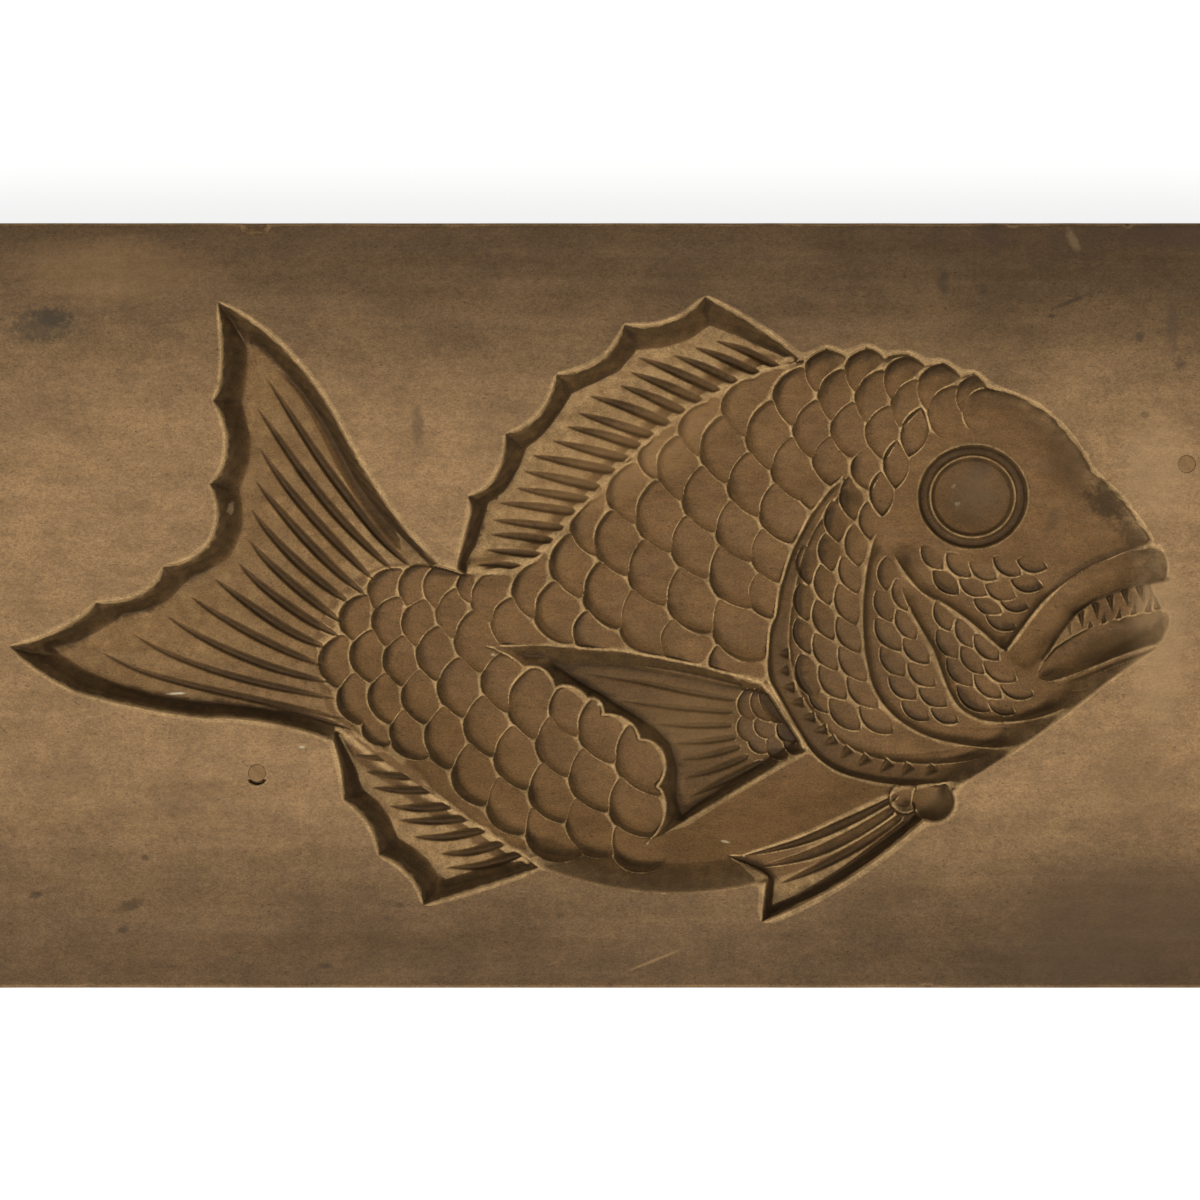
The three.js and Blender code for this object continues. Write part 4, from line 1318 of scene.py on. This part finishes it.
def stain_group():
    """A stain: tints a colour inside a ragged oval on the plank."""
    tree = bpy.data.node_groups.new("stain", "ShaderNodeTree")
    tree.interface.new_socket("Colour", in_out="OUTPUT", socket_type="NodeSocketColor")
    for label, kind in (("Colour", "Color"), ("Place", "Vector"), ("Centre", "Vector"),
                        ("Turn", "Vector"), ("Size", "Vector"), ("Tint", "Color"),
                        ("Strength", "Float"), ("Ragged", "Float")):
        tree.interface.new_socket(label, in_out="INPUT", socket_type="NodeSocket" + kind)
    given = add(tree, "NodeGroupInput").outputs
    local = add(tree, "ShaderNodeMapping", {
        "Vector": given["Place"], "Location": given["Centre"], "Rotation": given["Turn"],
        "Scale": given["Size"]}, vector_type="TEXTURE")
    rough = add(tree, "ShaderNodeTexNoise", {
        "Vector": given["Place"], "Scale": 420, "Detail": 3, "Roughness": 0.7})
    centred = maths(tree, "SUBTRACT", rough.outputs["Fac"], 0.5)
    torn = maths(tree, "MULTIPLY_ADD", centred, given["Ragged"],
                 vector_maths(tree, "LENGTH", local))
    amount = mapped(tree, torn, 1.0, 0.35, 0, 1, "SMOOTHSTEP")
    share = maths(tree, "MULTIPLY", amount, given["Strength"])
    mixed = add(tree, "ShaderNodeMix", {
        0: share, 6: given["Colour"], 7: given["Tint"]}, data_type="RGBA")
    add(tree, "NodeGroupOutput", {0: mixed.outputs[2]})
    return tree


# x, y, half length, half width, turn in degrees, tint, strength, raggedness
STAINS = [
    (42, 325, 46, 25, 6, "#3d3427", 0.62, 1.6), (50, 318, 28, 13, 0, "#373025", 0.55, 1.4),
    (418, 426, 9, 26, 0, "#4c3d2c", 0.5, 0.8), (943, 281, 8, 19, 0, "#3a2f20", 0.65, 1.5),
    (1140, 337, 6, 8, 0, "#2f261c", 0.55, 0.7), (1145, 415, 7, 5, 0, "#33281d", 0.5, 0.7),
    (130, 905, 20, 8, 18, "#332818", 0.5, 1.5), (36, 895, 9, 5, 0, "#2c2216", 0.6, 1.0),
    (123, 930, 8, 5, 0, "#2c2216", 0.55, 1.0), (145, 858, 6, 4, 0, "#33281a", 0.5, 1.0),
    (325, 966, 9, 5, 0, "#2c2216", 0.5, 1.0), (400, 905, 7, 4, 0, "#33281a", 0.4, 1.0),
    (560, 915, 6, 4, 0, "#33281a", 0.4, 1.0), (1072, 301, 30, 3, 22, "#33271a", 0.65, 1.3),
    (1109, 503, 34, 19, -47, "#32240f", 0.78, 1.7),
    (1072, 460, 32, 40, 30, "#46331d", 0.45, 0.8), (655, 960, 38, 2.2, 22, "#a58256", 0.45, 0.6),
    (976, 496, 54, 51, 0, "#4c3a25", 0.45, 0.3), (985, 470, 20, 12, 10, "#46382a", 0.45, 1.6),
    (257, 777, 8, 6, 0, "#4a3420", 0.45, 0.8), (625, 455, 185, 50, 32, "#a17b4e", 0.32, 0.6),
    (1172, 325, 9, 42, 0, "#4b3a2b", 0.5, 1.5), (1181, 364, 8, 9, 0, "#3b2b20", 0.5, 1.2),
    (983, 290, 6, 10, 15, "#3a2f20", 0.55, 1.4), (1138, 337, 8, 9, 0, "#54422e", 0.5, 1.2),
    (1073, 240, 6, 18, 25, "#8a7050", 0.35, 1.2), (990, 238, 20, 12, -30, "#3c2b22", 0.45, 1.4),
    (1052, 316, 6, 3, 0, "#2c2117", 0.6, 1.2), (1190, 230, 90, 28, 0, "#3f2e22", 0.5, 0.8),
    (980, 492, 38, 32, 0, "#705a3d", 0.30, 1.8), (1120, 915, 170, 95, 0, "#54402c", 0.6, 0.5),
    (110, 270, 130, 45, 0, "#a27e54", 0.22, 0.6), (1160, 640, 40, 120, 0, "#ac8b62", 0.44, 0.7),
    (1055, 521, 20, 8, 68, "#4a3a26", 0.5, 1.3), (60, 780, 60, 30, 10, "#5f492f", 0.25, 1.5),
    (420, 950, 80, 22, 0, "#4a3823", 0.25, 1.6), (190, 800, 46, 20, 25, "#6a5236", 0.3, 1.5),
    (1187, 466, 9, 9, 0, "#6f5438", 0.4, 1.0), (1134, 537, 28, 13, -50, "#3a2a14", 0.65, 1.3),
    (1112, 645, 62, 22, 18, "#3f2e16", 0.6, 0.8), (868, 640, 58, 110, 0, "#46341c", 0.28, 0.5),
    (930, 650, 62, 62, 0, "#46341c", 0.22, 0.5), (670, 884, 80, 9, 0, "#3a2b18", 0.35, 0.8),
    (1140, 785, 70, 75, 0, "#6f5538", 0.3, 0.5), (1070, 965, 150, 30, 0, "#4f3c2a", 0.35, 0.8),
    (1158, 470, 50, 70, 0, "#b08f66", 0.32, 0.8), (690, 725, 80, 66, 0, "#8a6a42", 0.36, 0.4),
    (1060, 622, 30, 22, -45, "#8a6a42", 0.25, 0.4), (936, 804, 22, 20, 0, "#745a38", 0.3, 0.3),
]
FLOUR = [
    (174, 694, 12, 1.8, 2, "#d8c8a8", 0.8, 0.8), (302, 747, 4, 2, 0, "#cdbb98", 0.6, 1.0),
    (230, 508, 4, 8, 0, "#a88c66", 0.45, 2.6), (726, 843, 6, 1.6, -12, "#cbb791", 0.6, 1.0),
    (957, 485, 4, 2, 30, "#94846a", 0.4, 2.8), (961, 503, 6, 3, 50, "#a39479", 0.45, 3.0),
    (600, 705, 4, 2, 20, "#c9b48d", 0.5, 1.0), (492, 655, 3, 2, 0, "#c9b48d", 0.5, 1.0),
]


def plank_finish(colours):
    """Wild cherry, planed and cut with gouges, then oiled and darkened by years of paste and
    hands: a warm grey brown, paler on worn ridges, nearly black in creases, with a low sheen.
    The dark of its creases and steep walls is partly dirt and partly painted shade."""
    wood = bpy.data.materials.new("old_hand_carved_cherry")
    tree = emptied(wood)
    here, normal = (add(tree, "ShaderNodeTexCoord").outputs[name] for name in ("Object", "Normal"))
    east, north, _ = split(tree, here)

    def noise(scale, detail=3.0, roughness=0.55):
        # Cells are 1 / scale metres long in each direction
        return add(tree, "ShaderNodeTexNoise", {
            "Vector": vector_maths(tree, "MULTIPLY", here, scale), "Scale": 1.0,
            "Detail": detail, "Roughness": roughness}).outputs["Fac"]

    def ranged(value, low, high, to_low, to_high):
        return mapped(tree, value, low, high, to_low, to_high, "SMOOTHSTEP")

    def times(a, b):
        return maths(tree, "MULTIPLY", a, b)

    def mixed(share, a, b):
        return add(tree, "ShaderNodeMix", {0: share, 6: a, 7: b}, data_type="RGBA").outputs[2]

    # The two long edges are darker, most of all at the head's end
    bend = ranged(noise((9, 16, 9), 3, 0.6), 0.3, 0.7, -0.009, 0.009)
    height = maths(tree, "ADD", north, bend)
    upper = ranged(height, 0.040, 0.122, 0, 0.95)
    lower = ranged(height, -0.040, -0.120, 0, 0.80)
    edges = maths(tree, "ADD", upper, lower)
    right = ranged(east, 0.02, 0.19, 0, 0.5)
    tone = mixed(edges, colour(colours.wood), colour(colours.wood_dark))
    tone = mixed(times(edges, right), tone, colour(colours.grime_and_shade))

    # Carved wood is darker; its steep walls and creases are painted darker still, partly dirt
    # and end grain, partly painted shade
    sunk, wear, grime_and_shade = (add(tree, "ShaderNodeAttribute", attribute_name=name).outputs["Fac"]
                         for name in ("sunk", "wear", "grime_and_shade"))
    endways, _, level = split(tree, normal)
    carved = ranged(sunk, 0.004, 0.05, 0, 1)
    tone = mixed(ranged(sunk, 0.02, 0.40, 0, 0.92), tone, colour(colours.hollow))
    tone = mixed(ranged(sunk, 1.0, 1.5, 0, 0.5), tone, colour(colours.wall))
    patchy = ranged(noise((170, 170, 90), 4, 0.7), 0.34, 0.62, 0.62, 1)
    # Painted shade: the steeper a wall faces away from overhead, the darker it is painted
    deep = times(times(ranged(level, 0.97, 0.70, 0, 0.92), carved), patchy)
    tone = mixed(deep, tone, colour(colours.wall))
    # Dirt and painted shade from the point attribute: creases, small cuts, the fins' walls, the
    # collar and the mouth
    tone = mixed(ranged(grime_and_shade, 0.05, 0.9, 0, 0.72), tone, colour(colours.grime_and_shade))
    broken = ranged(noise((240, 240, 240), 3, 0.75), 0.34, 0.58, 0.5, 1)
    rubbed = times(ranged(wear, 0.35, 0.95, 0, 0.95), broken)
    tone = mixed(rubbed, tone, colour(colours.wear))

    # Growth rings curve across the ends and run along the sides, and the arrises are painted
    # paler: partly rubbed wood, partly a painted highlight
    side = ranged(level, 0.85, 0.35, 0, 1)
    end = ranged(maths(tree, "ABSOLUTE", endways), 0.6, 0.9, 0, 0.5)
    tone = mixed(times(end, side), tone, colour(colours.wood_dark))
    arris = times(times(ranged(level, 0.98, 0.80, 0, 1), ranged(level, 0.0, 0.4, 0, 0.7)), broken)
    open_wood = maths(tree, "SUBTRACT", 1.0, carved)
    tone = mixed(times(arris, open_wood), tone, colour(colours.wood))
    heart = vector_maths(tree, "ADD", here, (0, 0.035, 0.10))
    growth = add(tree, "ShaderNodeTexWave", {
        "Vector": vector_maths(tree, "MULTIPLY", heart, (0.07, 1, 1)), "Scale": 80,
        "Distortion": 8, "Detail": 3, "Detail Scale": 0.25, "Detail Roughness": 0.6},
        wave_type="RINGS", rings_direction="X", wave_profile="SAW").outputs["Fac"]
    late_wood = ranged(growth, 0.30, 1.0, 1.06, 0.72)
    rings = add(tree, "ShaderNodeMix", {
        0: ranged(level, 0.85, 0.35, 0.10, 1), 2: 1.0, 3: late_wood}, data_type="FLOAT").outputs[0]

    blotch = ranged(noise((60, 95, 95), 5, 0.65), 0.32, 0.68, 0.86, 1.12)
    cloud = ranged(noise((260, 420, 420), 3, 0.7), 0.30, 0.70, 0.90, 1.09)
    streak = ranged(noise((9, 230, 230), 2), 0.30, 0.70, 0.97, 1.03)
    # Real fibres are 0.02 mm across; the finest speckle here is 0.3 mm
    speck = ranged(noise((1500, 2300, 2300), 3, 0.8), 0.34, 0.66, 0.75, 1.25)
    fleck = ranged(noise((700, 1500, 1500), 1), 0.24, 0.34, 0.60, 1)
    for share in (rings, blotch, cloud, streak, speck, fleck):
        tone = vector_maths(tree, "SCALE", tone, Scale=share)
    group = stain_group()
    for x, y, length, width, turn, tint, strength, ragged in STAINS + FLOUR:
        tone = add(tree, "ShaderNodeGroup", {
            "Colour": tone, "Place": here, "Centre": place(x, y, 0.04),
            "Turn": (0, 0, math.radians(turn)), "Size": (length * UNIT, width * UNIT, 0.03),
            "Tint": linear(tint), "Strength": strength, "Ragged": ragged},
            node_tree=group).outputs[0]

    fibre = noise((140, 1700, 1700), 3, 0.6)
    tooled = noise((260, 260, 260), 2)
    sawn = times(noise((12, 45, 900), 3), side)  # Saw and plane marks, level round the sides
    relief = maths(tree, "MULTIPLY_ADD", speck, 0.6, fibre)
    relief = maths(tree, "MULTIPLY_ADD", sawn, 3.0, relief)
    relief = maths(tree, "MULTIPLY_ADD", tooled, sunk, relief)
    bump = add(tree, "ShaderNodeBump", {"Height": relief, "Distance": 0.00012, "Strength": 0.5})
    shader = add(tree, "ShaderNodeBsdfPrincipled", {
        "Base Color": tone, "Roughness": ranged(streak, 0.97, 1.03, 0.72, 0.62),
        "Normal": bump, "IOR": 1.5, "Specular IOR Level": 0.15})
    add(tree, "ShaderNodeOutputMaterial", {0: shader})
    return wood


def peg_finish(colours):
    """Split and rounded hardwood dowel, cut across: close rings, dark pores and a matt face."""
    wood = bpy.data.materials.new("cut_dowel_end_grain")
    tree = emptied(wood)
    here = add(tree, "ShaderNodeTexCoord").outputs["Object"]
    nearby = vector_maths(tree, "MULTIPLY", here, (1, 1, 0.08))
    bands = add(tree, "ShaderNodeTexWave", {
        "Vector": nearby, "Scale": 130, "Distortion": 3, "Detail": 2, "Detail Scale": 2},
        wave_type="BANDS", bands_direction="DIAGONAL")
    pores = add(tree, "ShaderNodeTexNoise", {
        "Vector": nearby, "Scale": 2600, "Detail": 2}).outputs["Fac"]
    banded = add(tree, "ShaderNodeMix", {
        0: maths(tree, "MULTIPLY", bands.outputs["Fac"], 0.45), 6: colour(colours.peg),
        7: colour(colours.peg_dark)}, data_type="RGBA")
    speckle = mapped(tree, pores, 0.3, 0.6, 0.72, 1.05)
    tone = vector_maths(tree, "SCALE", banded.outputs[2], Scale=speckle)
    bump = add(tree, "ShaderNodeBump", {"Height": pores, "Distance": 0.0002, "Strength": 0.5})
    shader = add(tree, "ShaderNodeBsdfPrincipled", {
        "Base Color": tone, "Roughness": 0.7, "Normal": bump, "IOR": 1.5,
        "Specular IOR Level": 0.3})
    add(tree, "ShaderNodeOutputMaterial", {0: shader})
    return wood


def white_to_camera(tree, share):
    """1 times the share for rays that see the surface itself, a mirror's or through glass."""
    path = add(tree, "ShaderNodeLightPath").outputs
    either = maths(tree, "ADD", path["Is Camera Ray"], path["Is Glossy Ray"])
    seen = maths(tree, "ADD", either, path["Is Transmission Ray"], clamp=True)
    return maths(tree, "MULTIPLY", seen, share)


def build_stage(sizes, colours):
    """A white floor, soft light from the lower left, and a camera straight above the face."""
    scene = bpy.context.scene
    scene.view_settings.view_transform = "Standard"
    floor = loose_object("floor", [(-4, -4, 0), (4, -4, 0), (4, 4, 0), (-4, 4, 0)], (),
                         [(0, 1, 2, 3)])
    floor.data.transform(Matrix.Translation((0, 0, -0.0002)))
    paper = bpy.data.materials.new("matt_white_paper")
    tree = emptied(paper)
    matt = add(tree, "ShaderNodeBsdfDiffuse", {"Color": colour(colours.floor)})
    glow = add(tree, "ShaderNodeEmission", {"Strength": white_to_camera(tree, 0.84)})
    both = add(tree, "ShaderNodeAddShader", {0: matt, 1: glow})
    add(tree, "ShaderNodeOutputMaterial", {0: both})
    floor.data.materials.append(paper)

    scene.world = bpy.data.worlds.new("white_room")
    tree = emptied(scene.world)
    strength = mapped(tree, white_to_camera(tree, 1.0), 0, 1, sizes.room_light, 1)
    sky = add(tree, "ShaderNodeBackground", {"Strength": strength})
    add(tree, "ShaderNodeOutputWorld", {0: sky})

    for name, heading, height, strength, angle in (
        ("window", 232, 62, sizes.window_light, 30), ("far_wall", 315, 60, 0.5, 60)
    ):
        lamp = bpy.data.lights.new(name, "SUN")
        lamp.energy, lamp.angle = strength, math.radians(angle)
        piece = in_scene(name, lamp)
        a, b = math.radians(heading), math.radians(height)
        aim = Vector((math.cos(a) * math.cos(b), math.sin(a) * math.cos(b), math.sin(b)))
        piece.location = aim * 2
        piece.rotation_euler = aim.to_track_quat("Z", "Y").to_euler()

    lens = bpy.data.cameras.new("camera")
    lens.sensor_width = 36
    lens.lens = lens.sensor_width * sizes.camera_height / (PICTURE_WIDTH * UNIT)
    lens.clip_start, lens.clip_end = 0.05, 20
    scene.camera = in_scene("camera", lens)
    middle = PICTURE_WIDTH / 2
    scene.camera.location = place(middle, middle, BOARD_HIGH.z + sizes.camera_height)


# ---- the add-on --------------------------------------------------------------------------------
def length_of(name, description, default, low=0.0, high=0.5):
    return FloatProperty(name=name, description=description, default=default, min=low, max=high,
                         precision=4, unit="LENGTH")


def number_of(name, description, default, low, high):
    return FloatProperty(name=name, description=description, default=default, min=low, max=high)


def tint_of(name, description, hex_colour):
    return FloatVectorProperty(name=name, description=description, subtype="COLOR", size=3,
                               default=linear(hex_colour)[:3], min=0, max=1)


class MouldSizes(bpy.types.PropertyGroup):
    """The plank's and the carving's sizes."""
    body_depth: length_of("Body depth", "Deepest part of the body", 0.014)
    body_edge_depth: length_of("Body edge", "Depth of the body where the fins meet it", 0.0050)
    crown_run: length_of("Crown run", "Distance over which the body deepens", 0.031, 0.001)
    tail_depth: length_of("Tail depth", "Depth of the tail's floor", 0.0085)
    fin_depth: length_of("Fin depth", "Depth of the other fins' floors", 0.008)
    root_depth: length_of("Fin root depth", "Depth of a fin where it meets the body", 0.0050)
    mouth_depth: length_of("Mouth depth", "Depth between the lips at the corner", 0.0075)
    eye_ring_depth: length_of("Eye ring depth", "Depth of the groove round the eye", 0.0021)
    eye_bowl_depth: length_of("Eye depth", "Depth of the eye below the cheek", 0.0024)
    scale_depth: length_of("Scale depth", "Depth of a body scale's wall", 0.0030)
    plate_scale_depth: length_of("Small scale depth", "Depth of a gill scale's wall", 0.0021)
    scale_wall_share: number_of(
        "Scale wall", "Share of a scale's radius that its steep wall takes", 0.40, 0.02, 0.9)
    scale_rise: number_of(
        "Scale rise", "How fast a scale's floor rises, in depths for each scale's length",
        1.35, 0.0, 5.0)
    ray_ratio: number_of(
        "Ray depth", "Depth of a fin ray for each unit of its half width", 0.65, 0.0, 3.0)
    arris: length_of("Arris", "Radius of the plank's worn edges", 0.0012, 0.0001, 0.01)
    peg_gap: length_of("Peg gap", "Radius that a bore has beyond its peg", 0.00002, 0.0, 0.001)
    grid_pitch: number_of(
        "Grid pitch", "Step of the grid that the face is carved on, in drawing units",
        0.85, 0.5, 8)
    triangles: IntProperty(name="Triangles", description="Triangles that the plank keeps",
                           default=188000, min=1000, max=199000)
    camera_height: length_of("Camera height", "Camera's height over the face", 1.6, 0.3, 10)
    window_light: number_of("Window light", "Strength of the main light", 2.1, 0, 20)
    room_light: number_of("Room light", "Strength of the light from all round", 0.36, 0, 5)


class MouldColours(bpy.types.PropertyGroup):
    """The finishes' colours."""
    wood: tint_of("Wood", "The plank's open face", "#92724d")
    wood_dark: tint_of("Dark wood", "The plank's darkened edges", "#4f3b25")
    hollow: tint_of("Hollow", "The wood deep in the carving", "#6b4d2b")
    wall: tint_of("Wall", "The steep walls of the carving", "#46341c")
    # This colour paints both dirt and shade: creases, steep walls, the collar and the plank's
    # right-hand corners
    grime_and_shade: tint_of("Grime", "The dirt held in creases", "#2d1f0d")
    wear: tint_of("Wear", "The wood on rubbed ridges", "#bb9866")
    peg: tint_of("Peg", "A peg's end grain", "#8a683f")
    peg_dark: tint_of("Dark peg", "The dark bands of a peg's end grain", "#6d5231")
    floor: tint_of("Floor", "The floor under the plank", "#848482")


class CAKE_MOULD_OT_plank(bpy.types.Operator):
    """Carve the plank and give it its finish"""
    bl_idname = "cake_mould.plank"
    bl_label = "Carve the plank"

    def execute(self, context):
        scene = context.scene
        plank = build_plank(scene.mould_sizes, plank_finish(scene.mould_colours))
        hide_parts("carved_board")
        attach(plank, "root")
        return {"FINISHED"}


class CAKE_MOULD_OT_pegs(bpy.types.Operator):
    """Set the two pegs into their bores"""
    bl_idname = "cake_mould.pegs"
    bl_label = "Set the pegs"

    def execute(self, context):
        wood = peg_finish(context.scene.mould_colours)
        for node in PEG_CENTRES:
            peg = build_peg(node, wood)
            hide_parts(node)
            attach(peg, "root")
        return {"FINISHED"}


class CAKE_MOULD_OT_stage(bpy.types.Operator):
    """Lay the floor and set up the lights and the camera"""
    bl_idname = "cake_mould.stage"
    bl_label = "Set the stage"

    def execute(self, context):
        build_stage(context.scene.mould_sizes, context.scene.mould_colours)
        return {"FINISHED"}


OPERATORS = (CAKE_MOULD_OT_plank, CAKE_MOULD_OT_pegs, CAKE_MOULD_OT_stage)


class CAKE_MOULD_PT_sidebar(bpy.types.Panel):
    """The cake mould's pieces, sizes and colours"""
    bl_label = "Cake Mould"
    bl_idname = "CAKE_MOULD_PT_sidebar"
    bl_space_type = "VIEW_3D"
    bl_region_type = "UI"
    bl_category = "Cake Mould"

    def draw(self, context):
        for operator in OPERATORS:
            self.layout.operator(operator.bl_idname)
        for group in (context.scene.mould_sizes, context.scene.mould_colours):
            box = self.layout.box()
            for name in type(group).__annotations__:
                box.prop(group, name)


CLASSES = (MouldSizes, MouldColours, *OPERATORS, CAKE_MOULD_PT_sidebar)


def register():
    for item in CLASSES:
        bpy.utils.register_class(item)
    bpy.types.Scene.mould_sizes = PointerProperty(type=MouldSizes)
    bpy.types.Scene.mould_colours = PointerProperty(type=MouldColours)


def unregister():
    del bpy.types.Scene.mould_colours
    del bpy.types.Scene.mould_sizes
    for item in reversed(CLASSES):
        bpy.utils.unregister_class(item)


def main():
    register()
    bpy.ops.cake_mould.plank()
    bpy.ops.cake_mould.pegs()
    bpy.ops.cake_mould.stage()


if __name__ == "__main__":
    main()
